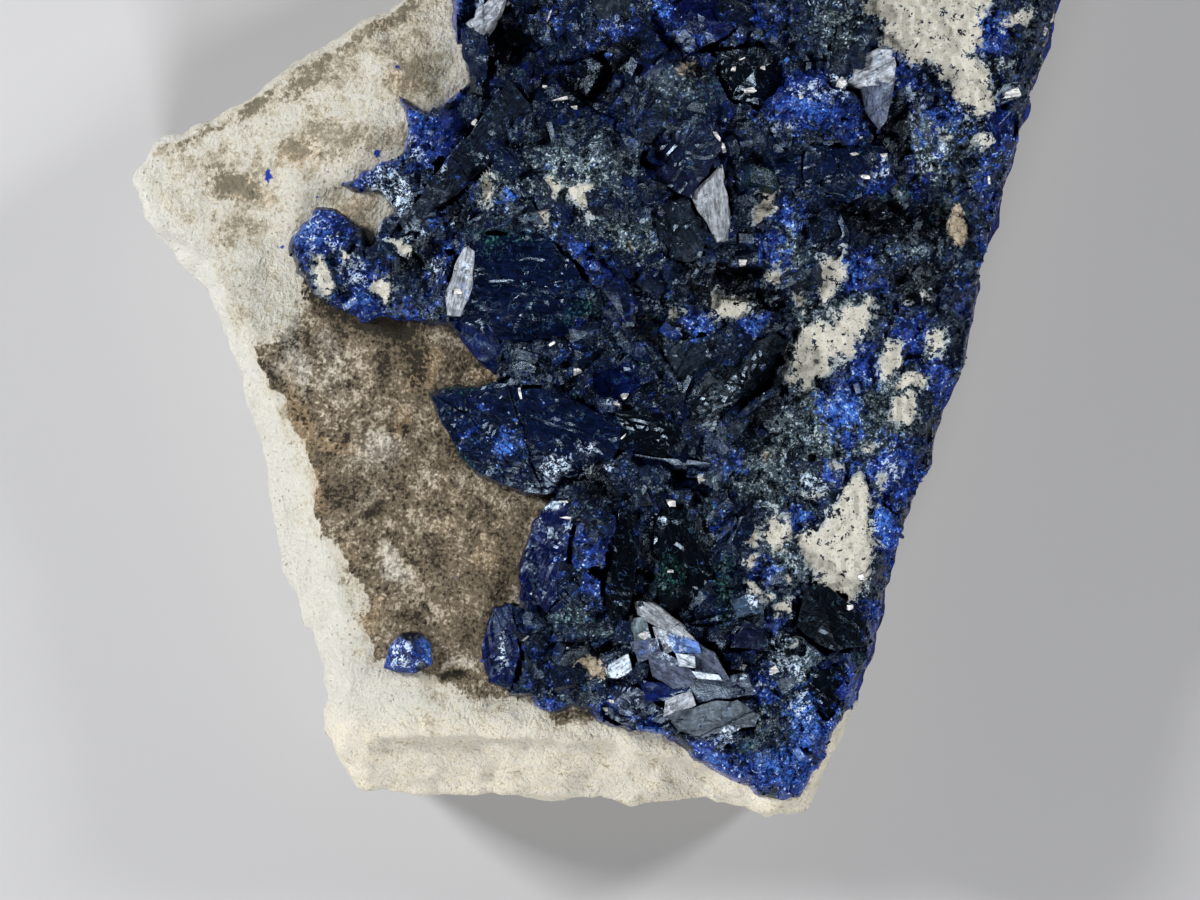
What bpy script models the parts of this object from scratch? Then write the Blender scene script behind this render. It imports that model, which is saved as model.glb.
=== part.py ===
"""Azurite specimen: a broken plate of pale rock whose face carries one grown mass of azurite.

Metres, +Z up. The plate lies on its back with the crystals on top. The origin is under the
middle of the plate, in the plane that it rests on.

Plan positions are read off a drawing sheet in millimetres, x to the right and y down from the
sheet's corner. Heights of crystals are millimetres above FACE, the general level of the rock's
front face.
"""

import math

import bmesh
import bpy
from mathutils import Matrix, Vector, noise

MM = 0.001

# Driving dimensions, millimetres.
PLATE_WIDTH = 93.8        # across the plate at its widest
FACE = 21.5               # level of the rock's front face above its back
SHOULDER_HEIGHT = 16.5    # level at which the broken sides stand out furthest
BELLY_HEIGHT = 9.0
FOOT_HEIGHT = 3.5
SEAT_GAP = 0.3            # between the rock and what grew on it
CRUST = 0.9               # thickness of the azurite where no crystal stands on it
BLOCK = 5.2               # pitch of the crust's own blocky crystals, and how they stand
BLOCK_RISE = 1.5
BLOCK_LEAN = 0.5
CRYSTAL_ROOT = 2.2        # how far below FACE a crystal reaches
WELD = 0.001              # corners closer than this are one

# The drawing sheet.
SHEET_WIDTH = 93.8        # the plate's width as drawn
SHEET_MIDDLE = (59.9, 32.9)
SHEET_SCALE = PLATE_WIDTH / SHEET_WIDTH

# The resolution of the broken surfaces, millimetres.
ROCK_CELL = 3.6
CRUST_CELL = 2.6

# The plate's edge: x, y, and how far inside it the front face ends, because the sides flare.
RIM = [
    (13.0, 17.8, 1.0), (16.0, 13.9, 0.6), (20.9, 11.8, 0.4), (25.2, 9.5, 0.4),
    (28.4, 6.7, 0.4), (33.8, 4.1, 0.4), (39.0, 0.8, 0.4), (43.0, -2.4, 0.4),
    (45.8, -7.2, 0.6), (53.5, -9.6, 0.8), (57.8, -13.2, 1.0), (66.0, -13.8, 1.0),
    (71.0, -16.4, 1.0), (80.0, -15.6, 0.8), (88.6, -16.6, 1.0), (94.5, -13.8, 0.9),
    (101.0, -13.4, 0.8), (103.4, -8.8, 0.6), (106.6, -6.6, 0.4), (106.8, -3.0, 0.4),
    (105.9, 0.0, 0.3), (104.9, 4.6, 0.3), (103.3, 8.7, 0.3), (102.3, 12.2, 0.3),
    (101.0, 17.3, 0.3), (99.8, 22.4, 0.3), (98.1, 27.0, 0.3), (97.4, 31.1, 0.3),
    (96.2, 37.0, 0.3), (93.8, 42.3, 0.3), (92.8, 46.6, 0.3), (91.2, 50.0, 0.3),
    (89.5, 55.0, 0.4), (88.3, 60.8, 0.5), (87.3, 65.0, 0.6), (85.5, 69.9, 0.5),
    (83.9, 73.9, 0.4), (82.5, 77.0, 0.6), (81.0, 80.4, 1.0), (78.8, 81.7, 1.5),
    (76.7, 82.4, 2.2), (74.6, 81.2, 3.0), (70.8, 80.1, 4.4), (65.7, 80.7, 5.4),
    (60.4, 79.9, 5.6), (55.0, 80.4, 6.0), (49.0, 79.4, 5.8), (43.0, 79.5, 5.8),
    (36.3, 79.5, 5.6), (33.6, 76.5, 3.8), (32.3, 73.2, 2.6), (32.4, 69.6, 2.2),
    (31.5, 64.1, 2.8), (30.0, 62.3, 3.8), (28.7, 57.7, 4.5), (27.5, 53.2, 4.6),
    (26.3, 48.4, 4.8), (25.6, 44.6, 4.3), (24.2, 38.6, 2.6), (22.8, 34.4, 2.3),
    (20.5, 28.7, 2.2), (17.2, 25.0, 2.1), (14.8, 21.9, 1.8),
]

# The edge of the azurite on the rock's face.
AZURITE_EDGE = [
    (45.4, 0.0), (45.3, 3.0), (46.4, 6.0), (46.6, 8.7), (44.4, 10.4), (42.8, 11.2), (41.0, 10.2),
    (39.4, 9.5), (40.4, 11.8), (40.6, 13.4), (39.8, 15.2), (37.6, 16.6), (33.6, 18.2),
    (36.0, 18.8), (38.4, 19.2), (38.9, 20.6), (37.9, 23.0), (37.4, 24.0), (33.6, 21.2),
    (31.0, 20.9), (29.4, 23.2), (28.9, 25.2), (29.8, 27.4), (31.4, 29.7), (34.2, 30.8),
    (36.9, 32.3), (40.2, 31.9), (42.6, 32.7), (44.8, 32.4), (46.0, 34.2), (48.0, 36.1),
    (49.4, 37.4), (50.4, 38.4), (47.4, 38.7), (44.6, 39.0), (43.4, 39.8), (44.0, 41.6),
    (46.1, 45.4), (47.8, 47.4), (49.8, 48.8), (52.4, 49.2), (55.3, 49.4), (54.3, 51.2),
    (53.0, 54.4), (52.2, 57.8), (51.8, 60.2), (50.2, 60.4), (49.2, 62.2), (48.3, 64.6),
    (48.4, 67.0), (48.9, 68.4), (50.2, 69.2), (53.2, 69.8), (54.0, 71.0), (55.8, 71.4),
    (58.8, 71.2), (60.0, 72.4), (62.4, 73.2), (65.2, 73.2), (67.2, 74.4), (69.6, 76.0),
    (72.0, 77.8), (74.6, 78.6), (75.6, 79.4), (78.0, 79.6), (80.3, 79.6), (81.4, 78.0),
    (82.4, 76.2), (83.2, 74.2), (84.8, 70.6), (86.4, 66.0), (87.4, 61.6), (88.0, 58.4),
    (89.2, 54.6), (90.9, 49.9), (92.3, 46.6), (93.4, 42.2), (95.7, 37.0), (96.9, 31.0),
    (97.6, 27.0), (99.2, 22.4), (100.5, 17.3), (101.8, 12.2), (102.7, 8.7), (104.2, 4.6),
    (105.2, 0.0), (105.6, -3.6), (104.6, -7.0), (101.6, -9.6), (97.4, -11.6), (92.0, -12.6),
    (84.0, -13.4), (75.0, -12.8), (67.0, -11.0), (60.0, -9.4), (54.0, -7.2), (49.2, -4.4),
    (46.4, -2.2),
]

# Swells and hollows of the azurite: x, y, half length, half width, turn in degrees, lift.
SWELLS = [
    (57.0, 19.5, 10.0, 7.5, 10, 2.4), (66.0, 2.0, 17.0, 9.0, 0, 3.2), (81.5, 12.0, 9.0, 8.0, 0, 3.0),
    (44.5, 15.0, 4.0, 8.0, 35, 1.0), (34.5, 26.0, 6.0, 4.5, 40, 1.2), (51.5, 29.0, 8.0, 6.0, 0, 1.8),
    (53.0, 44.0, 9.0, 4.0, 8, 1.6), (64.0, 41.0, 9.0, 7.0, 0, 1.6), (57.0, 56.5, 4.5, 8.0, 15, 2.0),
    (67.0, 54.0, 5.0, 8.0, 0, 1.6), (50.5, 64.5, 2.5, 4.5, 0, 1.0), (70.0, 67.5, 9.0, 7.0, 0, 2.2),
    (79.0, 70.0, 6.0, 8.0, 0, 0.8), (85.0, 40.0, 10.0, 14.0, 0, 0.7), (90.0, 4.0, 12.0, 10.0, 0, 0.8),
    (84.0, -7.0, 16.0, 5.0, 0, 1.6),
]
HOLLOWS = [
    (60.0, 7.6, 4.4, 2.4, -35, 5.4), (50.4, 4.6, 2.0, 3.2, 10, 3.6), (73.0, 28.8, 5.4, 2.2, 14, 4.4),
    (90.5, 22.2, 7.0, 2.0, 8, 2.4), (89.8, 14.6, 0.9, 5.0, 4, 3.4), (91.6, 28.4, 3.0, 2.2, 0, 1.2),
    (83.0, 62.4, 4.4, 2.6, 20, 1.4), (82.6, 69.0, 1.8, 2.4, 30, 1.0), (67.0, 33.6, 5.0, 1.3, 20, 2.0),
    (43.2, 24.2, 4.6, 1.1, -38, 1.2), (59.6, 48.0, 1.0, 1.6, 0, 1.6), (64.6, 56.5, 1.2, 6.0, 12, 2.0),
    (76.0, 41.6, 1.2, 4.0, 42, 1.0), (58.0, 65.4, 3.0, 2.0, 0, 1.4),
]

# The crystals: the corners of each, as x, y and height. Each is their convex hull, with a root.
CRYSTALS = {
    "corner_blade": [(45.5, -3.0, 3.0), (47.2, -4.0, 4.5), (48.7, 3.0, 4.8), (48.9, 8.0, 4.0),
                     (47.4, 9.6, 2.4), (46.3, 5.0, 2.6)],
    "silver_plate": [(46.6, 3.1, 4.6), (47.6, 0.4, 5.1), (51.6, -0.9, 6.8), (50.6, 1.3, 6.3),
                     (48.5, 4.9, 5.3)],
    "long_blade": [(51.0, 8.4, 5.8), (53.2, 10.8, 4.6), (49.3, 16.2, 4.0), (44.3, 20.7, 3.0),
                   (40.6, 23.9, 1.9), (40.1, 22.3, 2.6), (43.1, 18.5, 4.0), (47.0, 13.6, 5.0)],
    "top_shield": [(59.4, -4.0, 6.6), (64.2, -3.6, 6.2), (63.8, 1.8, 5.4), (61.3, 3.2, 5.4),
                   (59.1, 1.0, 6.0)],
    "top_ridge": [(65.0, 1.0, 5.4), (72.5, -1.0, 6.4), (73.2, 3.4, 5.4), (69.5, 5.6, 4.6),
                  (65.8, 4.8, 4.6), (69.0, 1.6, 6.6)],
    "black_prism": [(71.8, 5.5, 5.0), (75.8, 4.9, 6.2), (79.7, 6.2, 5.6), (80.2, 10.2, 4.4),
                    (76.4, 11.2, 4.6), (73.1, 9.9, 4.6), (76.0, 7.6, 6.7)],
    "violet_blade": [(65.2, 14.2, 4.9), (69.8, 11.6, 6.2), (72.3, 15.0, 6.3), (69.0, 19.9, 4.6),
                     (64.6, 18.1, 3.9)],
    "grey_mirror": [(68.9, 19.7, 4.2), (72.1, 16.7, 5.4), (72.9, 21.5, 5.8), (72.6, 24.1, 5.7),
                    (71.7, 24.4, 5.4), (70.5, 22.5, 4.9)],
    "under_plate": [(65.4, 20.6, 3.8), (68.6, 20.0, 4.3), (70.8, 23.6, 3.6), (70.3, 26.1, 2.6),
                    (67.0, 26.3, 2.4), (65.1, 23.2, 3.0)],
    "silver_crystal": [(84.9, 7.8, 4.6), (87.4, 5.3, 5.8), (88.7, 5.5, 6.5), (89.4, 7.0, 6.9),
                       (89.2, 8.9, 6.4), (88.7, 10.8, 5.4), (87.6, 13.3, 3.8), (86.5, 11.3, 4.2),
                       (85.6, 9.2, 4.7), (87.3, 8.9, 6.1)],
    "bright_chip": [(83.1, 8.3, 4.4), (84.7, 8.4, 5.1), (83.8, 10.2, 4.6), (84.0, 7.6, 4.9)],
    "ledge_block": [(80.4, 14.6, 4.8), (88.4, 14.8, 4.9), (89.0, 18.6, 4.4), (85.0, 19.8, 4.8),
                    (80.2, 19.1, 4.6), (84.0, 16.6, 6.0)],
    "ledge_tooth": [(75.6, 15.6, 4.0), (79.8, 15.0, 5.0), (80.0, 18.4, 4.6), (77.0, 19.0, 3.6)],
    "edge_blue": [(98.6, 11.4, 2.6), (101.4, 10.9, 2.0), (101.4, 12.7, 1.7), (100.3, 15.9, 1.7),
                  (98.7, 15.7, 2.4), (99.7, 12.7, 3.3)],
    "edge_mirror": [(99.2, 9.9, 3.4), (100.2, 8.6, 3.3), (101.8, 8.3, 2.6), (101.9, 9.7, 2.4),
                    (99.8, 10.6, 3.0)],
    "broad_face": [(47.8, 23.6, 4.8), (54.4, 23.6, 5.2), (59.8, 29.2, 4.4), (57.6, 33.2, 3.2),
                   (51.5, 34.7, 2.6), (46.6, 32.6, 2.9), (47.2, 27.4, 4.4), (45.2, 27.4, 3.6),
                   (44.6, 31.4, 2.5)],
    "rounded_lobe": [(45.0, 32.1, 2.4), (48.5, 31.8, 3.0), (50.6, 35.4, 2.4), (49.4, 37.5, 1.2),
                     (47.0, 35.1, 1.3)],
    "wedge": [(44.6, 39.0, 2.4), (50.2, 38.5, 3.9), (56.5, 39.4, 4.6), (62.4, 42.4, 4.5),
              (61.4, 46.1, 4.1), (56.0, 47.0, 3.5), (43.4, 39.8, 1.5), (44.1, 41.6, 1.5),
              (46.1, 45.4, 1.5), (48.0, 47.5, 1.3), (52.2, 49.2, 1.5), (55.4, 49.3, 1.8),
              (51.8, 43.0, 4.1)],
    "deep_glass": [(59.0, 37.4, 3.7), (63.0, 35.8, 4.4), (64.8, 37.6, 4.1), (63.4, 39.9, 3.6),
                   (60.0, 40.1, 3.4)],
    "dark_shield": [(61.4, 41.2, 4.9), (66.4, 40.6, 4.7), (68.5, 43.0, 3.9), (66.6, 45.7, 3.6),
                    (62.0, 45.1, 4.2)],
    "lone_blade": [(77.2, 33.3, 5.8), (78.7, 34.3, 4.8), (78.2, 36.6, 3.4), (74.9, 40.5, 3.0),
                   (73.8, 39.7, 5.6), (71.5, 42.7, 3.5), (69.1, 39.7, 3.7), (69.9, 38.0, 4.2),
                   (73.0, 35.4, 5.0)],
    "ledge_upper": [(62.6, 45.4, 3.9), (72.0, 46.3, 3.6), (72.6, 47.3, 2.8), (62.4, 46.8, 3.0)],
    "ledge_lower": [(63.0, 47.6, 3.2), (72.8, 48.3, 2.9), (72.2, 49.7, 2.1), (63.6, 49.2, 2.4)],
    "dark_column": [(64.8, 50.2, 3.9), (70.3, 50.4, 3.7), (71.7, 55.0, 3.5), (70.7, 60.4, 3.0),
                    (66.0, 61.2, 3.2), (65.2, 55.0, 4.4), (67.0, 52.0, 5.2), (67.8, 58.4, 4.5)],
    "blue_column": [(55.2, 49.8, 2.9), (59.0, 50.0, 4.7), (61.4, 52.0, 5.0), (60.0, 58.0, 5.1),
                    (57.0, 62.0, 3.9), (52.2, 60.0, 1.8), (52.0, 56.5, 2.0), (53.6, 52.0, 2.4)],
    "sparkling_rib": [(58.6, 53.4, 5.4), (62.2, 52.0, 5.7), (62.8, 56.2, 5.2), (60.0, 60.2, 4.8),
                      (57.2, 59.2, 4.6)],
    "small_lobe": [(49.4, 60.8, 1.9), (51.3, 60.6, 2.9), (52.0, 65.0, 3.3), (51.2, 68.8, 2.2),
                   (49.0, 68.3, 1.4), (48.4, 64.5, 1.4)],
    "white_chip": [(60.6, 66.6, 3.5), (62.7, 65.3, 4.4), (63.2, 67.0, 4.6), (61.8, 67.6, 4.0),
                   (60.8, 67.4, 3.6)],
    "long_leaf": [(63.9, 60.2, 4.2), (65.4, 60.3, 4.8), (66.7, 61.3, 5.4), (68.1, 62.4, 5.9),
                  (69.2, 63.8, 6.4), (67.3, 63.5, 5.6), (66.0, 62.3, 5.1), (64.1, 61.5, 4.3)],
    "leaf_two": [(65.6, 63.0, 4.2), (67.1, 63.2, 4.8), (67.6, 64.4, 5.0), (66.6, 65.0, 4.6),
                 (65.9, 64.4, 4.3)],
    "leaf_three": [(68.6, 64.5, 5.5), (69.8, 64.4, 6.0), (71.1, 65.2, 6.5), (72.3, 67.3, 6.8),
                   (69.8, 66.9, 5.9), (68.9, 65.4, 5.6)],
    "leaf_four": [(65.2, 65.7, 4.7), (66.3, 65.2, 5.1), (67.6, 66.0, 5.6), (69.2, 67.0, 6.2),
                  (69.0, 68.1, 6.1), (67.3, 68.4, 5.3), (65.5, 67.3, 4.7)],
    "leaf_five": [(66.8, 69.9, 4.2), (68.8, 69.3, 5.0), (69.1, 70.3, 5.1), (66.6, 71.2, 4.1)],
    "lens": [(66.6, 71.3, 3.5), (69.0, 70.7, 4.6), (71.2, 70.1, 5.4), (73.5, 70.0, 5.6),
             (75.6, 71.3, 5.0), (75.2, 72.3, 4.4), (72.6, 73.0, 3.8), (69.8, 73.6, 3.0),
             (67.9, 72.6, 2.8)],
    "leaf_six": [(63.1, 62.1, 3.7), (64.5, 62.0, 4.3), (64.8, 63.6, 4.4), (63.4, 64.0, 3.9)],
    "dark_tile": [(72.8, 64.7, 4.9), (74.3, 62.0, 5.3), (76.2, 63.0, 5.2), (76.5, 64.8, 4.6)],
    "ash_tile": [(73.0, 60.0, 4.2), (75.6, 59.2, 4.8), (76.2, 61.0, 4.9), (73.6, 61.6, 4.3)],
    "corner_block": [(80.4, 58.8, 3.0), (82.3, 58.3, 3.6), (85.0, 60.4, 3.7), (86.7, 61.7, 2.6),
                     (86.2, 64.4, 2.1), (83.6, 65.1, 2.3), (81.4, 64.1, 2.8), (79.6, 62.6, 2.7),
                     (82.6, 61.4, 4.3)],
    "corner_chip": [(80.8, 67.2, 2.7), (84.0, 66.4, 2.6), (84.4, 69.4, 2.1), (82.7, 71.9, 1.9),
                    (80.7, 69.8, 2.5)],
    "slanting_plates": [(60.2, 68.3, 3.0), (63.5, 68.6, 3.9), (66.5, 71.0, 3.4), (66.9, 72.3, 2.6),
                        (63.0, 72.9, 1.6), (60.0, 71.1, 1.8)],
    "left_cluster": [(29.8, 23.4, 1.6), (31.5, 21.3, 1.8), (33.4, 21.4, 2.3), (38.2, 24.9, 2.9),
                     (42.8, 29.2, 2.7), (43.3, 31.6, 1.6), (38.6, 32.0, 1.3), (33.6, 30.3, 1.2),
                     (30.6, 28.0, 1.2), (29.4, 25.4, 1.2), (34.6, 25.8, 3.2)],
    "arm": [(33.9, 18.2, 1.0), (36.5, 17.3, 1.7), (39.7, 16.6, 1.9), (38.4, 19.0, 1.6),
            (35.6, 18.7, 1.1)],
    "hump_block": [(54.2, 15.0, 4.2), (60.0, 13.4, 5.4), (63.4, 17.2, 5.0), (61.8, 21.6, 4.6),
                   (56.0, 20.6, 4.8), (58.6, 17.0, 6.2)],
    "hump_tooth": [(50.0, 17.4, 2.8), (53.6, 16.2, 4.2), (54.6, 20.0, 3.8), (51.0, 21.4, 2.8)],
    "blue_ridge": [(55.4, 24.2, 4.6), (57.0, 23.2, 5.2), (61.6, 27.6, 4.2), (60.2, 29.0, 3.6)],
    "mid_block": [(62.6, 8.8, 4.6), (67.4, 8.2, 5.6), (69.2, 11.2, 4.8), (64.2, 13.4, 4.4),
                  (65.6, 10.6, 6.0)],
    "druse_block": [(77.2, 9.8, 4.2), (82.4, 10.8, 4.8), (82.0, 14.6, 4.6), (77.0, 14.0, 3.8),
                    (79.8, 12.4, 5.6)],
    "centre_block": [(58.4, 34.0, 2.8), (62.4, 31.4, 3.8), (65.4, 34.2, 3.4), (62.8, 36.2, 3.4)],
    "dark_shelf": [(66.2, 34.4, 2.8), (71.4, 33.6, 4.0), (71.8, 37.0, 3.6), (67.2, 38.4, 3.0)],
    "low_block": [(70.4, 42.6, 3.2), (75.6, 43.0, 3.0), (74.4, 46.4, 2.6), (70.2, 46.0, 3.2)],
    "foot_block": [(54.6, 63.4, 2.6), (58.4, 62.4, 3.6), (60.2, 65.6, 3.0), (56.2, 68.2, 2.0)],
    "toe_block": [(75.4, 73.0, 2.6), (79.6, 72.2, 2.8), (81.0, 76.4, 1.8), (77.0, 78.0, 1.4)],
    "right_block": [(75.6, 66.0, 3.2), (79.2, 65.4, 3.2), (80.0, 68.8, 2.6), (76.2, 70.0, 2.8)],
    "crown_one": [(77.0, -9.0, 4.6), (82.0, -10.5, 5.2), (84.0, -6.0, 4.6), (79.0, -4.4, 4.2),
                  (80.6, -7.6, 6.2)],
    "crown_two": [(53.0, -5.8, 3.6), (57.6, -7.6, 4.4), (58.6, -3.0, 5.2), (54.4, -1.6, 5.0)],
    "crown_three": [(66.0, -9.0, 3.8), (71.5, -10.6, 4.2), (73.0, -6.2, 4.8), (68.4, -4.4, 5.0)],
}

# A lone cluster on the bare rock: corners as for the crystals.
NODULE = [(38.6, 66.8, 0.6), (39.1, 64.7, 1.0), (40.2, 63.4, 1.1), (41.6, 63.3, 1.2),
          (43.0, 64.5, 1.0), (43.1, 66.4, 0.8), (41.5, 67.3, 0.5), (39.8, 67.1, 0.4),
          (41.1, 64.7, 2.7), (40.3, 66.0, 2.4), (42.2, 65.4, 2.2)]
NODULE_ROOT = 1.2

# Crystals too small to place singly: x, y, half length, half width, count.
THICKETS = [
    (58.0, 5.0, 9.0, 7.0, 4), (57.0, 66.0, 3.5, 2.5, 3), (73.0, 66.0, 4.0, 4.0, 2),
    (97.5, 9.0, 2.5, 9.0, 4), (93.0, 34.0, 2.0, 10.0, 4), (86.0, -8.0, 11.0, 3.5, 4),
]
SMALL_CRYSTAL = (1.3, 2.6)   # shortest and longest small crystal
THICKET_SEED = 11


def plan(x, y, height=0.0):
    """A point of the drawing sheet, at a height in millimetres, in the part's own frame."""
    return Vector((
        (x - SHEET_MIDDLE[0]) * SHEET_SCALE * MM,
        (SHEET_MIDDLE[1] - y) * SHEET_SCALE * MM,
        height * MM,
    ))


def sheet_of(point):
    """The drawing sheet's x and y of a point in the part's frame."""
    return (
        SHEET_MIDDLE[0] + point.x / MM / SHEET_SCALE,
        SHEET_MIDDLE[1] - point.y / MM / SHEET_SCALE,
    )


def rough(x, y, wavelength, seed):
    """Smooth noise from -1 to 1 over the sheet."""
    return noise.noise(Vector((x / wavelength, y / wavelength, seed)))


def swell(x, y, cx, cy, half_length, half_width, turn):
    """A smooth mound of height 1 on an ellipse."""
    angle = math.radians(turn)
    along = (x - cx) * math.cos(angle) - (y - cy) * math.sin(angle)
    across = (x - cx) * math.sin(angle) + (y - cy) * math.cos(angle)
    return math.exp(-((along / half_length) ** 2 + (across / half_width) ** 2))


def ground(x, y):
    """Height of the rock's front face, millimetres."""
    left_corner = 2.6 * swell(x, y, 14.0, 18.0, 13.0, 11.0, 0)
    upper_edge = 1.4 * swell(x, y, 32.0, 3.0, 22.0, 5.0, 32)
    weathered = 0.8 * swell(x, y, 41.0, 47.0, 8.0, 15.0, -10)
    under_crystals = 0.6 * swell(x, y, 72.0, 36.0, 24.0, 40.0, 0)
    uneven = 0.55 * rough(x, y, 14.0, 1.7) + 0.3 * rough(x, y, 5.5, 7.3)
    return FACE + uneven - left_corner - upper_edge - weathered - under_crystals


def facets(x, y):
    """The crowded blocky crystals of the crust: the upper envelope of leaning flat-topped blocks."""
    column, row = math.floor(x / BLOCK), math.floor(y / BLOCK)
    highest = 0.0
    for i in range(column - 1, column + 2):
        for j in range(row - 1, row + 2):
            place = noise.cell_vector(Vector((i + 0.5, j + 0.5, 3.5)))
            form = noise.cell_vector(Vector((i + 0.5, j + 0.5, 8.5)))
            turn = math.pi * form.x
            dx, dy = x - (i + place.x) * BLOCK, y - (j + place.y) * BLOCK
            along = dx * math.cos(turn) + dy * math.sin(turn)
            across = dy * math.cos(turn) - dx * math.sin(turn)
            lean = BLOCK_LEAN * (form.y - 0.5)
            top = BLOCK_RISE * (0.5 + 0.5 * form.z) + lean * along
            past_side = max(abs(along) / 0.6, abs(across) / 0.4) - BLOCK
            highest = max(highest, top - max(0.0, past_side))
    return highest


def crust_top(x, y):
    """Height of the azurite between its crystals, millimetres."""
    lift = CRUST + facets(x, y) + 0.3 * rough(x, y, 3.1, 4.9)
    lift += sum(height * swell(x, y, *place) for *place, height in SWELLS)
    lift -= sum(depth * swell(x, y, *place) for *place, depth in HOLLOWS)
    thinnest = 0.9
    return max(FACE + lift, ground(x, y) + SEAT_GAP + thinnest)


def back_hollows(x, y):
    """Height of the hollows broken out of the back, millimetres. Below 0 the back is whole."""
    return 2.2 * rough(x, y, 17.0, 21.1) + 0.9 * rough(x, y, 6.0, 3.3) - 0.35


def new_object(name, shape, collection):
    """An object from a bmesh, with its faces pointing outwards."""
    bmesh.ops.recalc_face_normals(shape, faces=shape.faces)
    mesh = bpy.data.meshes.new(name)
    shape.to_mesh(mesh)
    shape.free()
    result = bpy.data.objects.new(name, mesh)
    collection.objects.link(result)
    return result


def helper_collection(name):
    """A collection of cutters, left out of the finished part."""
    helpers = bpy.data.collections.new(name)
    bpy.context.scene.collection.children.link(helpers)
    helpers.hide_render = True
    return helpers


def hide(helper):
    helper.hide_render = True
    helper.display_type = "WIRE"
    return helper


def relief(name, height, cell, end, collection):
    """A solid between the uneven sheet z = height(x, y) and the flat level end."""
    margin = 8.0
    left, right = 13.0 - margin, 107.0 + margin
    top, bottom = -16.5 - margin, 82.5 + margin
    shape = bmesh.new()
    bmesh.ops.create_grid(
        shape,
        x_segments=round((right - left) / cell),
        y_segments=round((bottom - top) / cell),
        size=0.5,
    )
    for vertex in shape.verts:
        x = left + (vertex.co.x + 0.5) * (right - left)
        y = top + (vertex.co.y + 0.5) * (bottom - top)
        vertex.co = plan(x, y, height(x, y))
    sheet = list(shape.faces)
    grown = bmesh.ops.extrude_face_region(shape, geom=sheet, use_keep_orig=True)
    for vertex in (item for item in grown["geom"] if isinstance(item, bmesh.types.BMVert)):
        vertex.co.z = end * MM
    return hide(new_object(name, shape, collection))


def outline_normals(points):
    """The unit inward normal at each corner of a closed outline that runs clockwise on the sheet."""
    normals = []
    for i, here in enumerate(points):
        before, after = points[i - 1], points[(i + 1) % len(points)]
        along = (Vector(after[:2]) - Vector(before[:2])).normalized()
        normals.append(Vector((-along.y, along.x)))
    return normals


def plate_blank():
    """The plate before its face is broken: rings of the edge, from the foot up past the face."""
    normals = outline_normals(RIM)
    sheer = [0.5 + 0.5 * rough(x, y, 4.0, 30.0) for x, y, _ in RIM]

    def ring(height, flare, tuck):
        """The edge at a height: flare of 1 is the drawn edge and 0 the rim of the front face."""
        points = []
        for (x, y, inset), normal, push in zip(RIM, normals, sheer):
            away = inset * (1.0 - flare) + tuck * (0.6 + 0.8 * push)
            points.append(plan(x + normal.x * away, y + normal.y * away, height))
        return points

    rings = [
        ring(0.0, 1.0, 4.0),
        ring(FOOT_HEIGHT, 1.0, 1.6),
        ring(BELLY_HEIGHT, 1.0, 0.8),
        ring(SHOULDER_HEIGHT, 1.0, 0.0),
        ring(FACE - 0.8, 0.0, 0.2),
        ring(FACE + 8.0, 0.0, 0.6),
    ]
    shape = bmesh.new()
    edge = [shape.verts.new(point) for point in rings[0]]
    face = shape.faces.new(edge)
    for points in rings[1:]:
        grown = bmesh.ops.extrude_face_region(shape, geom=[face, *face.edges])
        face = next(item for item in grown["geom"] if isinstance(item, bmesh.types.BMFace))
        for vertex, point in zip(face.verts, points):
            vertex.co = point
    bmesh.ops.triangulate(shape, faces=shape.faces)
    return shape


def prism(name, outline, low, high, collection):
    """An upright solid on an outline of the sheet, between two heights."""
    shape = bmesh.new()
    face = shape.faces.new([shape.verts.new(plan(x, y, low)) for x, y in outline])
    grown = bmesh.ops.extrude_face_region(shape, geom=[face], use_keep_orig=True)
    for vertex in (item for item in grown["geom"] if isinstance(item, bmesh.types.BMVert)):
        vertex.co.z = high * MM
    return new_object(name, shape, collection)


def crystal(name, corners, root, collection):
    """A crystal: the convex hull of its corners and of a wider root below the face."""
    middle = sum((plan(*corner[:2]) for corner in corners), Vector()) / len(corners)
    root_spread = 1.06
    shape = bmesh.new()
    for x, y, height in corners:
        shape.verts.new(plan(x, y, FACE + height))
        foot = middle + (plan(x, y) - middle) * root_spread
        foot.z = (FACE - root) * MM
        shape.verts.new(foot)
    hull = bmesh.ops.convex_hull(shape, input=shape.verts)
    unused = [item for item in hull["geom_interior"] if isinstance(item, bmesh.types.BMVert)]
    bmesh.ops.delete(shape, geom=unused, context="VERTS")
    return new_object(name, shape, collection)


def small_crystal(name, x, y, chance, collection):
    """A short bladed crystal with a chisel end, standing at its own lean on the azurite."""
    length = SMALL_CRYSTAL[0] + (SMALL_CRYSTAL[1] - SMALL_CRYSTAL[0]) * chance()
    shape = bmesh.new()
    bmesh.ops.create_cube(shape, size=1.0)
    bmesh.ops.scale(shape, vec=Vector((0.5, 1.0, 1.5)) * length * MM, verts=shape.verts)
    top = length * 0.75 * MM
    for side in (-1, 1):
        bmesh.ops.bisect_plane(
            shape,
            geom=shape.verts[:] + shape.edges[:] + shape.faces[:],
            plane_co=(0.0, side * length * 0.12 * MM, top),
            plane_no=Vector((0.0, side * 0.8, 1.0)),
            clear_outer=True,
        )
        bmesh.ops.holes_fill(shape, edges=[e for e in shape.edges if e.is_boundary])
    lean = Matrix.Rotation(math.radians(15 + 40 * chance()), 4, "X")
    turn = Matrix.Rotation(math.tau * chance(), 4, "Z")
    bmesh.ops.transform(
        shape,
        matrix=Matrix.Translation(plan(x, y, crust_top(x, y))) @ turn @ lean,
        verts=shape.verts,
    )
    return new_object(name, shape, collection)


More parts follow.
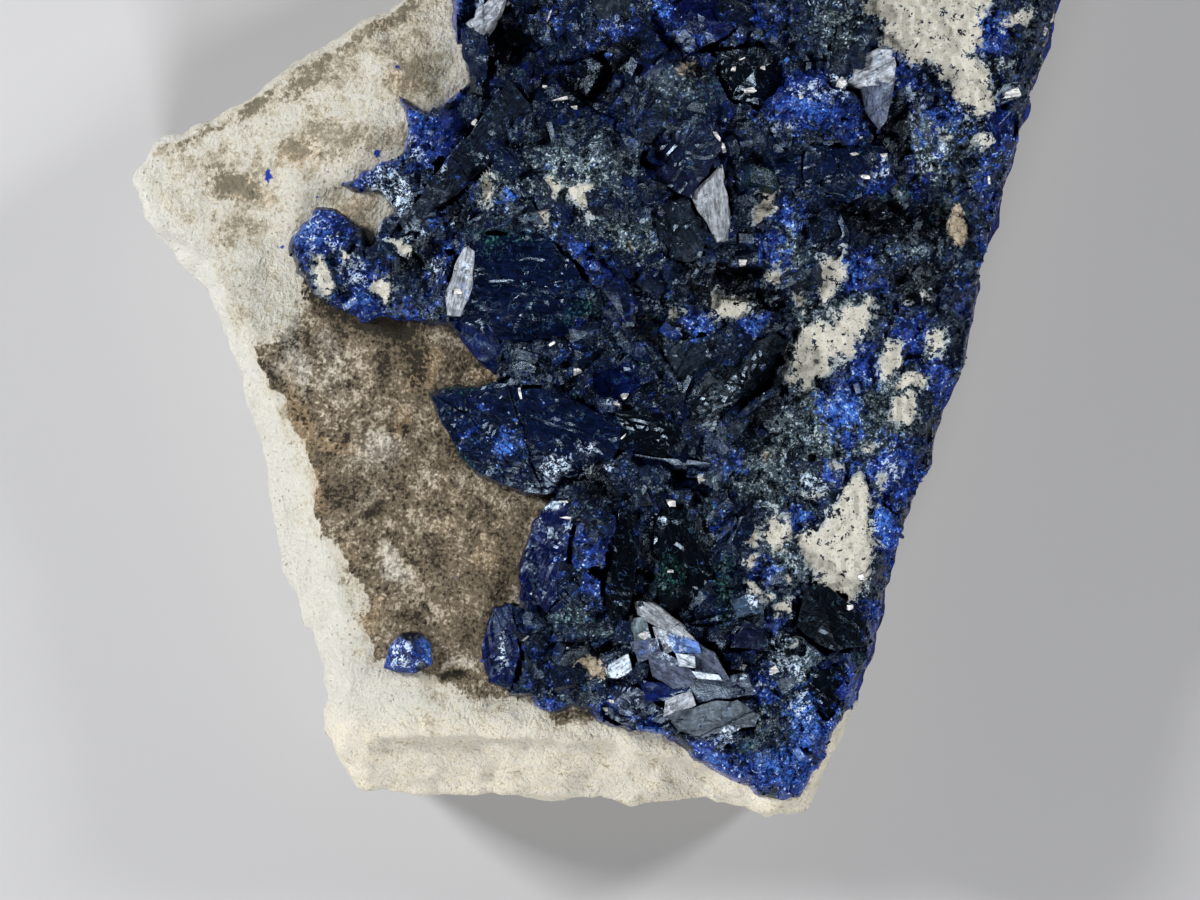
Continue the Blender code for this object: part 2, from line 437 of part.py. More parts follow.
def thickets(collection):
    """The small crystals, scattered over their thickets."""
    noise.seed_set(THICKET_SEED)
    for number, (cx, cy, half_length, half_width, count) in enumerate(THICKETS):
        for i in range(count):
            angle = math.tau * noise.random()
            out = math.sqrt(noise.random())
            x = cx + half_length * out * math.cos(angle)
            y = cy + half_width * out * math.sin(angle)
            small_crystal(f"small_{number}_{i}", x, y, noise.random, collection)


def carve(target, operation, operand=None, collection=None):
    """Applies one exact Boolean to an object's own mesh, and leaves it in triangles."""
    boolean = target.modifiers.new(operation.lower(), "BOOLEAN")
    boolean.operation = operation
    boolean.solver = "EXACT"
    boolean.use_self = collection is not None
    if collection is None:
        boolean.object = operand
    else:
        boolean.operand_type = "COLLECTION"
        boolean.collection = collection
    graph = bpy.context.evaluated_depsgraph_get()
    carved = bpy.data.meshes.new_from_object(target.evaluated_get(graph))
    target.modifiers.clear()
    target.data = carved
    shape = bmesh.new()
    shape.from_mesh(carved)
    bmesh.ops.remove_doubles(shape, verts=shape.verts, dist=WELD * MM)
    bmesh.ops.dissolve_degenerate(shape, edges=shape.edges, dist=WELD * MM)
    bmesh.ops.triangulate(shape, faces=shape.faces)
    shape.to_mesh(carved)
    shape.free()
    return target


def keep_largest_body(target):
    """Drops crumbs that a cut has left loose."""
    shape = bmesh.new()
    shape.from_mesh(target.data)
    bodies, seen = [], set()
    for start in shape.verts:
        if start in seen:
            continue
        body, front = {start}, [start]
        while front:
            for edge in front.pop().link_edges:
                for vertex in edge.verts:
                    if vertex not in body:
                        body.add(vertex)
                        front.append(vertex)
        seen |= body
        bodies.append(body)
    largest = max(bodies, key=len)
    crumbs = [vertex for vertex in shape.verts if vertex not in largest]
    bmesh.ops.delete(shape, geom=crumbs, context="VERTS")
    shape.to_mesh(target.data)
    shape.free()


def finish(target, name, colour, roughness):
    """Gives a solid its name and its mineral's plain colour."""
    material = bpy.data.materials.new(name)
    material.use_nodes = True
    surface = material.node_tree.nodes["Principled BSDF"]
    surface.inputs["Base Color"].default_value = (*colour, 1.0)
    surface.inputs["Roughness"].default_value = roughness
    surface.inputs["Metallic"].default_value = 0.0
    target.name = name
    target.data.materials.clear()
    target.data.materials.append(material)


def make_matrix(part, cutters):
    """The plate of rock: flared broken sides, an uneven face, hollows in the back."""
    rock = new_object("matrix", plate_blank(), part)
    above = relief("above_face", ground, ROCK_CELL, FACE + 20.0, cutters)
    below = relief("back_hollows", back_hollows, 2 * ROCK_CELL, -10.0, cutters)
    carve(rock, "DIFFERENCE", above)
    carve(rock, "DIFFERENCE", below)
    keep_largest_body(rock)
    finish(rock, "matrix", (0.74, 0.69, 0.58), 0.9)


def make_azurite(part, cutters, grown):
    """The azurite: a crust with its crystals, seated on the rock's own unevenness."""
    azurite = prism("azurite", AZURITE_EDGE, FACE - 8.0, FACE + 14.0, part)
    carve(azurite, "DIFFERENCE", relief("above_crust", crust_top, CRUST_CELL, FACE + 30.0, cutters))
    for name, corners in CRYSTALS.items():
        hide(crystal(name, corners, CRYSTAL_ROOT, grown))
    thickets(grown)
    carve(azurite, "UNION", collection=grown)
    seat = relief("seat", lambda x, y: ground(x, y) + SEAT_GAP, ROCK_CELL, -12.0, cutters)
    carve(azurite, "DIFFERENCE", seat)
    keep_largest_body(azurite)
    finish(azurite, "azurite", (0.01, 0.03, 0.22), 0.2)
    return seat


def make_nodule(part, seat):
    """The lone cluster of azurite on the bare rock."""
    nodule = crystal("azurite_nodule", NODULE, NODULE_ROOT, part)
    carve(nodule, "DIFFERENCE", seat)
    keep_largest_body(nodule)
    finish(nodule, "azurite_nodule", (0.02, 0.07, 0.42), 0.3)


def main():
    for leftover in list(bpy.data.objects):
        bpy.data.objects.remove(leftover)
    part = bpy.data.collections.new("azurite_specimen")
    bpy.context.scene.collection.children.link(part)
    cutters = helper_collection("cutters")
    grown = helper_collection("grown_crystals")
    make_matrix(part, cutters)
    seat = make_azurite(part, cutters, grown)
    make_nodule(part, seat)


main()
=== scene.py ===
"""The looks of the azurite specimen: sandy rock, glassy blades, drusy crust and its crystals.

Places are read off a drawing sheet in millimetres: x to the right, y down, with the rock's left
and far edges where the frame has them. Heights are millimetres above the surface it rests on.
"""

import itertools
import math

import bmesh
import bpy
import numpy as np
from mathutils import Matrix, Vector
from mathutils.bvhtree import BVHTree


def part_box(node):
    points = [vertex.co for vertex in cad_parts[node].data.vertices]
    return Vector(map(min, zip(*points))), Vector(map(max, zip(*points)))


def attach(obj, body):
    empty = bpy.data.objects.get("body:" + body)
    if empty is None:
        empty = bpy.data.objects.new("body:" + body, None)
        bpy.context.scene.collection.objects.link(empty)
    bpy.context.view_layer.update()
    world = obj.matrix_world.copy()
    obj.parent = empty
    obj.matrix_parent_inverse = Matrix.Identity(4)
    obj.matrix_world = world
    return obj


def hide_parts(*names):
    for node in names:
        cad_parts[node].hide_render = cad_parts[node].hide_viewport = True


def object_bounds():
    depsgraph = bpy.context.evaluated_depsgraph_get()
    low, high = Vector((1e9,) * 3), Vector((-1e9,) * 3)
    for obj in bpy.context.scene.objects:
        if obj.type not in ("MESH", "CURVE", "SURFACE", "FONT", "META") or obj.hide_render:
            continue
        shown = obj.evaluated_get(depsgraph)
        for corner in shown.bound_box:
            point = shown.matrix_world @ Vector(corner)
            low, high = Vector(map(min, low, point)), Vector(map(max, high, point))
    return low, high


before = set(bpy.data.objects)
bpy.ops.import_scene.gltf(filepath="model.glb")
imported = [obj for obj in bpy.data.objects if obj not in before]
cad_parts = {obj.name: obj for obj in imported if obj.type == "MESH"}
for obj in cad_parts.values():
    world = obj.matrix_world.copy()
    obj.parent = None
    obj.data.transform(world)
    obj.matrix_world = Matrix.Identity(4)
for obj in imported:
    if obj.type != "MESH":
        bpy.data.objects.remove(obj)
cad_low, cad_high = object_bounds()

MM = 0.001
ROCK_LOW, ROCK_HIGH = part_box("matrix")
SHEET_LEFT, SHEET_TOP = 13.0, -16.6          # where the sheet has the rock's left and far edges
FACE = ROCK_HIGH.z / MM - 0.34               # the level of the rock's front face
SHOULDER = 16.5                              # the level where the rock is widest
RAY_START = 60.0                             # a level above the whole specimen
CEILING = cad_high.z / MM + 0.4              # the level that small crystals stay below

rng = np.random.default_rng(41)

# ---------------------------------------------------------------------------- the drawing sheet


def plan(x, y, z=0.0):
    """The point of the frame at a place on the sheet."""
    return Vector((ROCK_LOW.x + (x - SHEET_LEFT) * MM, ROCK_HIGH.y - (y - SHEET_TOP) * MM, z * MM))


def plan_all(x, y, z):
    """The same for arrays."""
    return np.stack([ROCK_LOW.x + (x - SHEET_LEFT) * MM, ROCK_HIGH.y - (y - SHEET_TOP) * MM, z * MM], -1)


def sheet_of(points):
    """The places on the sheet of an array of points of the frame."""
    return np.stack([SHEET_LEFT + (points[..., 0] - ROCK_LOW.x) / MM,
                     SHEET_TOP + (ROCK_HIGH.y - points[..., 1]) / MM], -1)


def lattice(corner, seed):
    """A number from 0 to 1 for each corner of a lattice, always the same one."""
    n = np.full(corner.shape[:-1], seed * 69069 + 12345, np.int64)
    for k, prime in zip(range(corner.shape[-1]), (374761393, 668265263, 2147483647)):
        n = (n + corner[..., k].astype(np.int64) * prime) & 0xFFFFFFFF
        n = ((n ^ (n >> 13)) * 1274126177) & 0xFFFFFFFF
    return ((n ^ (n >> 16)) & 0xFFFF) / 65535.0


def ripple(points, wavelength, seed):
    """Smooth noise from -1 to 1 at an array of points with two or three coordinates."""
    scaled = points / wavelength
    corner = np.floor(scaled)
    part = scaled - corner
    part = part * part * (3.0 - 2.0 * part)
    total = 0.0
    for offset in itertools.product((0.0, 1.0), repeat=points.shape[-1]):
        chosen = np.where(np.array(offset) > 0.5, part, 1.0 - part)
        total = total + np.prod(chosen, -1) * lattice(corner + np.array(offset), seed)
    return 2.0 * total - 1.0


def wandering(places, reach, wavelength, seed):
    """The places pushed about, so that a drawn edge comes out ragged."""
    push = np.stack([ripple(places, wavelength, seed), ripple(places, wavelength, seed + 1)], -1)
    return places + reach * push


def inside_by(places, outline):
    """How far each place is inside a closed outline, and below 0 outside it."""
    x, y = places[..., 0], places[..., 1]
    nearest = np.full(x.shape, 1e9)
    inside = np.zeros(x.shape, bool)
    for (ax, ay), (bx, by) in zip(outline, outline[1:] + outline[:1]):
        dx, dy = bx - ax, by - ay
        t = np.clip(((x - ax) * dx + (y - ay) * dy) / (dx * dx + dy * dy), 0.0, 1.0)
        nearest = np.minimum(nearest, np.hypot(x - ax - t * dx, y - ay - t * dy))
        crosses = (ay > y) != (by > y)
        if dy:
            inside ^= crosses & (x < ax + (y - ay) * dx / dy)
    return np.where(inside, nearest, -nearest)


def spot(places, x, y, half_length, half_width, turn=0, strength=1):
    """A smooth ellipse, turned by a number of degrees."""
    angle = math.radians(turn)
    dx, dy = places[..., 0] - x, places[..., 1] - y
    along = (dx * math.cos(angle) - dy * math.sin(angle)) / half_length
    across = (dx * math.sin(angle) + dy * math.cos(angle)) / half_width
    return strength * np.exp(-0.7 * (along * along + across * across) ** 1.5)


def spots(places, blots):
    """Smooth ellipses together: each is x, y, half length, half width, and its turn and strength."""
    total = np.zeros(places.shape[:-1])
    for blot in blots:
        total = np.maximum(total, spot(places, *blot))
    return total


def step(value, low, high):
    """A smooth rise from 0 at low to 1 at high."""
    t = np.clip((value - low) / (high - low), 0.0, 1.0)
    return t * t * (3.0 - 2.0 * t)


# ------------------------------------------------------------------- what is where on the face

AZURITE_EDGE = [
    (45.4, 0.0), (45.3, 3.0), (46.4, 6.0), (46.6, 8.7), (44.4, 10.4), (42.8, 11.2), (41.0, 10.2),
    (39.4, 9.5), (40.4, 11.8), (40.6, 13.4), (39.8, 15.2), (37.6, 16.6), (33.6, 18.2), (36.0, 18.8),
    (38.4, 19.2), (38.9, 20.6), (37.9, 23.0), (37.4, 24.0), (33.6, 21.2), (31.0, 20.9), (29.4, 23.2),
    (28.9, 25.2), (29.8, 27.4), (31.4, 29.7), (34.2, 30.8), (36.9, 32.3), (40.2, 31.9), (42.6, 32.7),
    (44.8, 32.4), (46.0, 34.2), (48.0, 36.1), (49.4, 37.4), (50.4, 38.4), (47.4, 38.7), (44.6, 39.0),
    (43.4, 39.8), (44.0, 41.6), (46.1, 45.4), (47.8, 47.4), (49.8, 48.8), (52.4, 49.2), (55.3, 49.4),
    (54.3, 51.2), (53.0, 54.4), (52.2, 57.8), (51.8, 60.2), (50.2, 60.4), (49.2, 62.2), (48.3, 64.6),
    (48.4, 67.0), (48.9, 68.4), (50.2, 69.2), (53.2, 69.8), (54.0, 71.0), (55.8, 71.4), (58.8, 71.2),
    (60.0, 72.4), (62.4, 73.2), (65.2, 73.2), (67.2, 74.4), (69.6, 76.0), (72.0, 77.8), (74.6, 78.6),
    (75.6, 79.4), (78.0, 80.0), (80.2, 80.0), (81.3, 78.3), (82.3, 76.3), (83.3, 74.1), (85.9, 70.0),
    (87.6, 66.0), (88.7, 61.6), (89.3, 58.4), (90.6, 54.6), (92.2, 49.9), (93.6, 46.6), (94.8, 42.2),
    (97.0, 37.0), (98.2, 31.0), (98.9, 27.0), (100.5, 22.4), (101.8, 17.3), (103.1, 12.2), (104.0, 8.7),
    (105.4, 4.6), (106.4, 0.0), (106.2, -3.6), (104.8, -7.0), (101.6, -9.6), (97.4, -11.6),
    (92.0, -12.6), (84.0, -13.4), (75.0, -12.8), (67.0, -11.0), (60.0, -9.4), (54.0, -7.2),
    (49.2, -4.4), (46.4, -2.2),
]

# Windows of bare chalky rock in the azurite.
CHALK_FIELDS = [
    [(86.1, -4.0), (86.0, 0.0), (86.8, 1.8), (88.7, 2.3), (88.3, 4.7), (89.6, 5.0), (91.2, 6.0),
     (93.3, 5.7), (94.2, 8.0), (95.2, 7.5), (95.8, 6.6), (96.6, 6.2), (97.6, 6.4), (98.9, 8.8),
     (98.8, 10.9), (97.6, 11.5), (97.1, 10.4), (95.2, 9.9), (95.5, 8.4), (96.5, 5.6),
     (97.6, 4.6), (98.1, 2.3), (98.8, 0.0), (98.0, -3.0), (94.0, -5.0), (90.0, -5.6)],
    [(79.8, 54.2), (81.4, 56.4), (82.2, 58.3), (83.9, 59.0), (85.2, 59.5), (86.0, 58.8),
     (86.6, 56.9), (87.2, 54.2), (86.4, 51.5), (87.0, 49.4), (85.8, 48.0), (84.7, 49.6),
     (83.8, 51.4), (82.4, 52.2), (81.4, 53.2)],
    [(79.6, 34.6), (80.6, 32.6), (83.0, 32.8), (84.4, 31.0), (86.6, 30.4), (87.2, 31.8),
     (86.0, 33.4), (85.0, 35.2), (83.4, 35.6), (82.8, 37.4), (81.2, 37.0), (80.4, 38.6),
     (79.2, 38.2), (79.8, 36.6)],
]
CHALK_SPOTS = [
    (77.6, 27.9, 1.2, 1.1), (82.8, 27.0, 1.6, 1.7), (82.6, 29.2, 0.8, 1.6), (79.1, 37.9, 0.9, 0.7),
    (88.8, 35.8, 1.0, 2.1, -12), (93.5, 34.2, 1.2, 1.5), (90.9, 38.0, 1.5, 0.7, 20),
    (90.2, 41.0, 1.3, 1.9, -10), (86.6, 44.9, 0.9, 0.8, 0, 0.9), (80.3, 30.2, 0.5, 1.4, 10, 0.8),
    (75.5, 37.5, 0.5, 0.4, 0, 0.8), (74.0, 43.5, 0.5, 0.4, 0, 0.8), (76.5, 45.5, 0.5, 0.7, 0, 0.8),
    (74.8, 53.2, 1.1, 0.9), (77.7, 53.3, 1.4, 2.0, 10), (75.0, 56.0, 1.0, 0.5, 40),
    (75.2, 59.0, 1.2, 0.6, -45), (76.5, 59.9, 0.8, 0.5, 30, 0.9), (78.6, 58.0, 0.5, 0.7, 0, 0.9),
    (78.2, 60.8, 0.6, 1.2, -15), (73.0, 30.9, 2.0, 0.9, 12), (71.8, 30.2, 0.7, 1.0, 0, 0.9),
    (67.4, 31.3, 0.7, 0.5, 0, 0.9), (76.3, 20.7, 1.0, 1.9, -35), (48.9, 18.7, 0.9, 1.6),
    (55.5, 18.9, 0.8, 0.9), (54.3, 21.2, 0.8, 2.0, -14), (58.4, 20.0, 1.3, 1.6, 15),
    (63.0, 24.9, 0.6, 0.5, 0, 0.9), (32.1, 27.7, 1.0, 1.9, 22), (38.4, 29.2, 1.1, 1.4),
    (34.7, 26.0, 0.5, 0.9, 20, 0.9), (40.6, 24.9, 1.5, 0.6, -35), (55.3, 4.6, 0.6, 0.4, 0, 0.7),
    (58.7, 46.9, 1.0, 0.7, 0, 0.7), (69.8, 47.9, 0.7, 0.4, 0, 0.8), (79.4, 64.6, 0.8, 0.7, 0, 0.55),
    (98.4, 14.0, 1.4, 0.8, 40, 0.7), (94.6, 13.6, 1.0, 0.6, 40, 0.62), (93.0, 17.0, 0.6, 0.9, 0, 0.6),
    (101.6, 2.0, 1.5, 0.8, 30, 0.8), (100.0, 6.4, 1.2, 0.7, 0, 0.55), (88.0, 48.6, 0.7, 1.2, 0, 0.6),
    (81.5, 49.4, 1.2, 0.6, 10, 0.6), (83.6, 46.6, 0.5, 0.5, 0, 0.7), (90.6, 30.2, 0.5, 0.5, 0, 0.7),
    (92.4, 29.6, 0.5, 0.4, 0, 0.8), (70.0, -6.0, 2.0, 1.4, 20, 0.9), (63.0, -10.0, 2.4, 1.2, 10, 0.9),
    (77.0, -12.0, 1.6, 1.0, 0, 0.8), (102.0, -5.0, 1.2, 2.0, 0, 0.9), (86.0, -9.0, 1.5, 0.8, 0, 0.8),
]
TAN_SPOTS = [
    (59.1, 66.8, 1.3, 1.1), (95.7, 23.0, 0.8, 1.5), (69.0, 7.2, 1.6, 1.2, 20, 0.5),
    (48.9, 38.0, 1.2, 0.4, 0, 0.7), (95.8, 21.2, 0.7, 0.8, 0, 0.8),
]

# Where the fine crystals are bright blue, and where they are paler still.
BLUE_SPOTS = [
    (80.6, 79.0, 3.2, 1.8), (74.4, 78.2, 3.4, 1.2, -15), (84.4, 74.4, 1.2, 3.0, 20),
    (87.8, 64.6, 1.0, 4.0, 12), (52.6, 30.0, 1.6, 0.9, 30, 0.5), (58.0, 35.4, 1.6, 0.8, 20, 0.6),
    (45.6, 2.0, 0.9, 4.0), (45.4, 9.2, 1.6, 1.4), (41.2, 13.0, 2.2, 4.2, 20),
    (36.8, 17.6, 2.8, 1.2, 25), (32.0, 23.6, 3.0, 2.8), (36.6, 27.6, 2.0, 2.4, 0, 0.9),
    (35.8, 31.0, 3.2, 1.4, -15, 0.9), (41.0, 30.8, 2.4, 1.6, 0, 0.7), (44.0, 14.4, 1.6, 4.6, 30, 0.8),
    (44.6, 25.2, 2.0, 3.0, 20, 0.7), (50.9, 20.2, 0.9, 0.8), (58.6, 26.0, 3.2, 1.2, -45),
    (61.6, 3.6, 2.4, 1.8, 0, 0.7), (59.0, 6.2, 3.4, 0.8, 35, 0.8), (69.0, 2.6, 3.4, 2.8, 0, 0.8),
    (66.6, 1.0, 0.9, 2.4, 20, 0.9), (76.0, 2.0, 2.8, 2.6, 0, 0.6), (55.8, 2.0, 1.6, 1.6, 0, 0.7),
    (80.0, 10.2, 4.4, 2.8), (84.0, 12.6, 2.6, 2.0), (90.4, 7.8, 1.8, 3.0, 20),
    (88.6, 17.6, 3.6, 2.0, 10), (93.8, 12.0, 3.4, 3.4, 0, 0.66), (99.0, 3.4, 2.0, 3.4, 10, 0.9),
    (100.2, 13.4, 1.5, 3.6, 12), (98.6, 19.0, 1.4, 3.6, 12, 0.8), (77.2, 24.6, 1.4, 3.6, 0, 0.9),
    (79.0, 21.8, 1.4, 1.8, 0, 0.8), (85.4, 27.2, 1.8, 1.8, 0, 0.9), (88.4, 28.6, 1.2, 0.9),
    (69.6, 32.8, 2.0, 1.6, 20, 0.9), (75.0, 32.6, 1.6, 1.4, 30), (84.0, 39.8, 2.4, 3.0),
    (86.4, 36.0, 2.4, 2.4), (91.4, 33.4, 2.2, 2.6, 0, 0.9), (94.4, 38.8, 1.4, 4.0, 25, 0.9),
    (85.0, 43.4, 0.9, 1.2, 0, 0.9), (89.6, 47.0, 2.8, 3.4, 20), (84.0, 47.4, 2.0, 1.6, 0, 0.8),
    (88.6, 53.0, 1.4, 5.0, 12), (79.8, 51.8, 1.2, 1.2, 0, 0.9), (76.4, 57.2, 1.6, 1.4, 0, 0.8),
    (50.6, 44.2, 2.6, 1.6, 10), (48.0, 41.0, 2.0, 1.0, 20, 0.6), (54.6, 44.6, 1.0, 0.8, 0, 0.7),
    (46.4, 43.0, 1.6, 2.2, 30, 0.6), (63.6, 44.6, 1.4, 1.0, 0, 0.6), (59.0, 56.4, 2.2, 4.2, 22, 0.75),
    (54.2, 54.6, 1.2, 3.6, 12, 0.7), (50.0, 64.4, 0.9, 3.0, 0, 0.5), (55.4, 66.0, 3.2, 2.6, 0, 0.45),
    (54.4, 71.0, 1.8, 0.8, 20), (61.6, 71.2, 2.4, 1.6, 0, 0.9), (65.0, 73.2, 2.6, 1.2, -20),
    (71.4, 76.2, 3.4, 1.6, -35), (78.0, 77.0, 4.4, 2.4), (81.6, 73.0, 2.2, 3.4, 15),
    (85.2, 68.6, 1.4, 3.4, 15), (86.6, 61.4, 1.4, 2.2, 10), (76.2, 68.6, 1.8, 1.8, 0, 0.9),
    (77.6, 62.6, 1.2, 1.8, -30, 0.8), (72.4, 52.6, 1.0, 3.0, 0, 0.6), (73.4, 46.8, 2.2, 1.4, 0, 0.6),
    (98.0, 24.8, 0.9, 2.6, 12, 0.8), (96.4, 30.4, 0.8, 3.0, 10, 0.7), (66.0, 22.6, 0.9, 1.4, 0, 0.6),
    (64.0, -6.0, 3.0, 2.0, 0, 0.9), (82.0, -9.4, 4.0, 1.6, 0, 0.8), (99.6, -7.0, 2.4, 2.4, 0, 0.9),
    (52.6, -4.0, 2.4, 1.6, 30), (91.6, -9.0, 2.8, 1.6, 0, 0.9), (73.0, -9.8, 2.0, 1.2, 0, 0.8),
]
AZURE_SPOTS = [
    (80.8, 78.2, 2.4, 1.8, 0, 0.7), (74.6, 77.8, 2.4, 0.9, -15, 0.6), (34.0, 28.4, 0.8, 0.8, 0, 0.6),
    (31.2, 23.2, 2.0, 2.0, 0, 0.8), (42.6, 12.0, 1.4, 2.4, 20, 0.8), (45.0, 9.6, 0.9, 1.2, 0, 0.8),
    (36.6, 30.0, 1.2, 1.0, 0, 0.8), (57.6, 25.0, 1.4, 0.8, -45, 0.7), (58.0, 42.0, 0.9, 0.9, 0, 0.5),
    (60.8, 38.0, 1.6, 1.0, 0, 0.5), (81.0, 11.0, 2.4, 2.0, 0, 0.75), (89.0, 16.6, 1.4, 1.2, 0, 0.8),
    (50.7, 20.0, 1.0, 0.9), (46.6, 29.4, 0.7, 1.6, 10, 0.9), (44.9, 23.6, 0.7, 1.4),
    (50.6, 44.6, 1.8, 1.1), (83.8, 41.0, 1.8, 2.6, 0, 0.9), (69.8, 33.4, 1.0, 1.0),
    (75.6, 32.2, 1.0, 1.2, 30, 0.9), (92.0, 2.0, 0.8, 3.0, 0, 0.8), (98.0, 3.0, 0.8, 3.4, 0, 0.9),
    (92.6, 11.6, 1.2, 1.2, 0, 0.7), (85.0, 27.0, 0.9, 1.6, 0, 0.9), (86.4, 47.0, 1.4, 1.0, 0, 0.7),
    (88.2, 52.0, 0.8, 3.0, 10, 0.8), (79.7, 51.7, 0.8, 0.7), (64.4, 64.8, 0.8, 1.4, 20, 0.8),
    (80.2, 71.6, 2.0, 3.4, 20), (78.0, 76.2, 3.4, 1.8, 0, 0.9), (72.0, 76.4, 2.4, 0.9, -35, 0.8),
    (77.0, 69.0, 1.4, 1.4, 0, 0.8), (85.4, 69.0, 0.7, 2.6, 15, 0.7), (59.2, 56.2, 1.3, 3.2, 25, 0.4),
    (66.0, 1.4, 0.7, 1.6, 20), (40.4, 12.6, 0.8, 1.2, 0, 0.7), (84.2, 34.0, 1.6, 1.6, 0, 0.6),
    (75.9, 28.2, 0.6, 0.6, 0, 0.8), (65.6, 73.0, 1.8, 0.7, -20, 0.8), (32.6, 26.4, 1.2, 0.5, 0, 0.7),
]
# Where the crust is grey and granular, and where green stains it.
ASH_SPOTS = [
    (57.0, 17.6, 7.0, 4.6, 12, 0.82), (63.0, 23.6, 4.0, 2.4, -30, 0.9), (83.6, 2.6, 3.0, 3.4, 0, 0.9),
    (94.6, 14.6, 4.0, 3.6, 0, 0.9), (91.6, 24.4, 4.0, 2.6, 0, 0.7), (84.6, 30.6, 3.0, 1.4, 0, 0.9),
    (78.8, 24.4, 2.0, 4.6, 0, 0.8), (80.6, 43.0, 6.0, 4.4), (77.0, 47.4, 4.0, 3.0),
    (87.8, 41.6, 3.4, 4.0, 0, 0.8), (79.4, 66.0, 2.2, 2.6), (76.4, 71.4, 2.4, 2.4, 0, 0.8),
    (70.4, 33.8, 3.4, 2.4, 0, 0.6), (56.8, 61.8, 2.6, 2.2, 0, 0.5), (78.6, 56.4, 2.6, 2.6, 0, 0.8),
    (58.4, 47.2, 3.0, 1.6, 0, 0.7), (80.0, 31.0, 1.6, 2.4, 0, 0.7), (89.0, 45.4, 2.0, 1.6, 0, 0.7),
    (66.6, 9.4, 3.6, 2.4, 0, 0.6), (60.0, 64.4, 2.2, 1.8, 0, 0.7), (75.0, 60.8, 1.6, 1.2, 0, 0.9),
    (56.0, -4.0, 4.0, 2.0, 20, 0.8), (76.0, -5.0, 5.0, 3.0, 0, 0.8), (93.0, -7.0, 3.0, 2.0, 0, 0.8),
]
GREEN_SPOTS = [
    (50.0, 24.2, 4.0, 1.2, -5, 0.8), (59.0, 30.8, 3.4, 1.2, 20, 0.7), (72.4, 58.4, 1.2, 4.0),
    (71.0, 51.0, 1.0, 2.0, 0, 0.7), (94.4, 22.4, 3.2, 2.4, 0, 0.8), (89.4, 19.6, 2.4, 1.0, 0, 0.9),
    (58.0, 56.8, 1.2, 2.2, 10, 0.6), (57.0, 61.4, 2.4, 1.8, 0, 0.6), (85.6, 66.0, 0.7, 0.6),
    (65.6, 32.4, 2.4, 1.0, 20, 0.7), (46.0, 38.8, 3.0, 0.6, 0, 0.8), (46.6, 46.0, 3.0, 0.7, -48, 0.7),
    (56.4, 10.0, 3.2, 1.6, 0, 0.6), (75.0, 74.6, 2.2, 1.2, 0, 0.7), (71.0, 9.6, 1.2, 2.4, 0, 0.6),
    (66.4, 57.6, 2.2, 2.6, 0, 0.8), (68.4, 16.0, 1.4, 2.6, 0, 0.5), (63.6, 36.8, 2.4, 0.9, 15, 0.6),
]

# Where white glitter is painted for fine crystals that glint, and where painted shadow darkens the hollows
# under ledges.
GLITTER_SPOTS = [
    (50.4, 64.6, 0.5, 2.4, 5, 0.7), (39.8, 19.6, 1.4, 2.6, 25, 0.9), (42.0, 23.8, 1.2, 1.4, 20, 0.9),
    (43.4, 26.6, 0.8, 1.2, 0, 0.7), (31.2, 24.6, 0.6, 1.6, 10, 0.8), (34.6, 28.6, 0.6, 0.8, 0, 0.7),
    (94.0, 14.6, 1.0, 1.6, 30, 0.7), (90.8, 12.6, 0.8, 1.6, 0, 0.6), (88.6, 17.0, 1.6, 1.0, 20, 0.7),
    (65.4, 30.6, 1.4, 0.6, 10, 0.6), (68.0, 33.6, 1.0, 0.8, 0, 0.6), (83.0, 39.6, 0.8, 1.4, 20, 0.7),
    (86.0, 33.6, 0.8, 1.0, 0, 0.7), (81.4, 48.4, 1.6, 0.8, -20, 0.9), (89.0, 47.0, 1.6, 1.0, -40, 0.8),
    (55.6, 46.6, 1.8, 1.3, 10, 0.8), (58.6, 47.4, 1.0, 0.8, 0, 0.8), (60.8, 46.9, 0.8, 0.4, 10, 0.8),
    (38.8, 18.2, 1.8, 1.6, -35), (37.6, 22.6, 1.0, 1.2, 0, 0.9), (41.4, 14.6, 1.0, 2.0, 30, 0.7),
    (33.4, 24.0, 0.7, 1.6, 0, 0.9), (35.6, 27.4, 1.8, 1.4, -50, 0.8), (31.6, 22.4, 1.2, 1.0, 0, 0.7),
    (44.0, 17.0, 0.8, 1.4, 30, 0.6), (46.8, 27.0, 0.8, 1.4, 10, 0.7), (81.2, 9.4, 2.2, 1.4, 0, 0.75),
    (83.6, 9.0, 0.9, 1.3, 10, 0.9), (78.4, 12.8, 1.6, 0.7, 0, 0.6), (91.4, 10.0, 1.2, 2.0, 20, 0.6),
    (92.0, 16.4, 1.6, 1.6, 0, 0.6), (89.6, 19.4, 1.0, 0.5, 0, 0.8), (98.4, 12.8, 1.0, 2.0, 0, 0.5),
    (61.8, 2.6, 1.6, 1.0, 0, 0.6), (59.0, 45.0, 1.2, 0.8, 0, 0.6), (61.4, 40.2, 0.7, 0.5, 0, 0.9),
    (54.2, 52.2, 0.8, 0.6, 0, 0.6), (62.0, 66.4, 1.4, 0.9, 20, 0.8), (66.6, 64.2, 3.0, 1.6, -30, 0.6),
    (78.8, 65.4, 2.0, 2.4, 20), (79.6, 70.6, 1.6, 2.8, 30, 0.65), (77.2, 74.6, 2.4, 1.2, 20, 0.4),
    (72.6, 73.6, 1.0, 1.6, -40, 0.8), (76.0, 76.4, 1.0, 1.0, 0, 0.4), (81.0, 74.4, 0.7, 2.4, 20, 0.35),
    (75.4, 59.6, 1.4, 0.9, 20, 0.9), (92.6, 29.0, 1.2, 0.7, 0, 0.6), (74.0, 67.0, 0.8, 0.6, 0, 0.9),
    (76.0, 68.4, 0.8, 0.6, 0, 0.8), (56.0, 50.2, 1.4, 0.5, 0, 0.6), (64.8, 63.2, 0.8, 0.4, 0, 0.9),
]
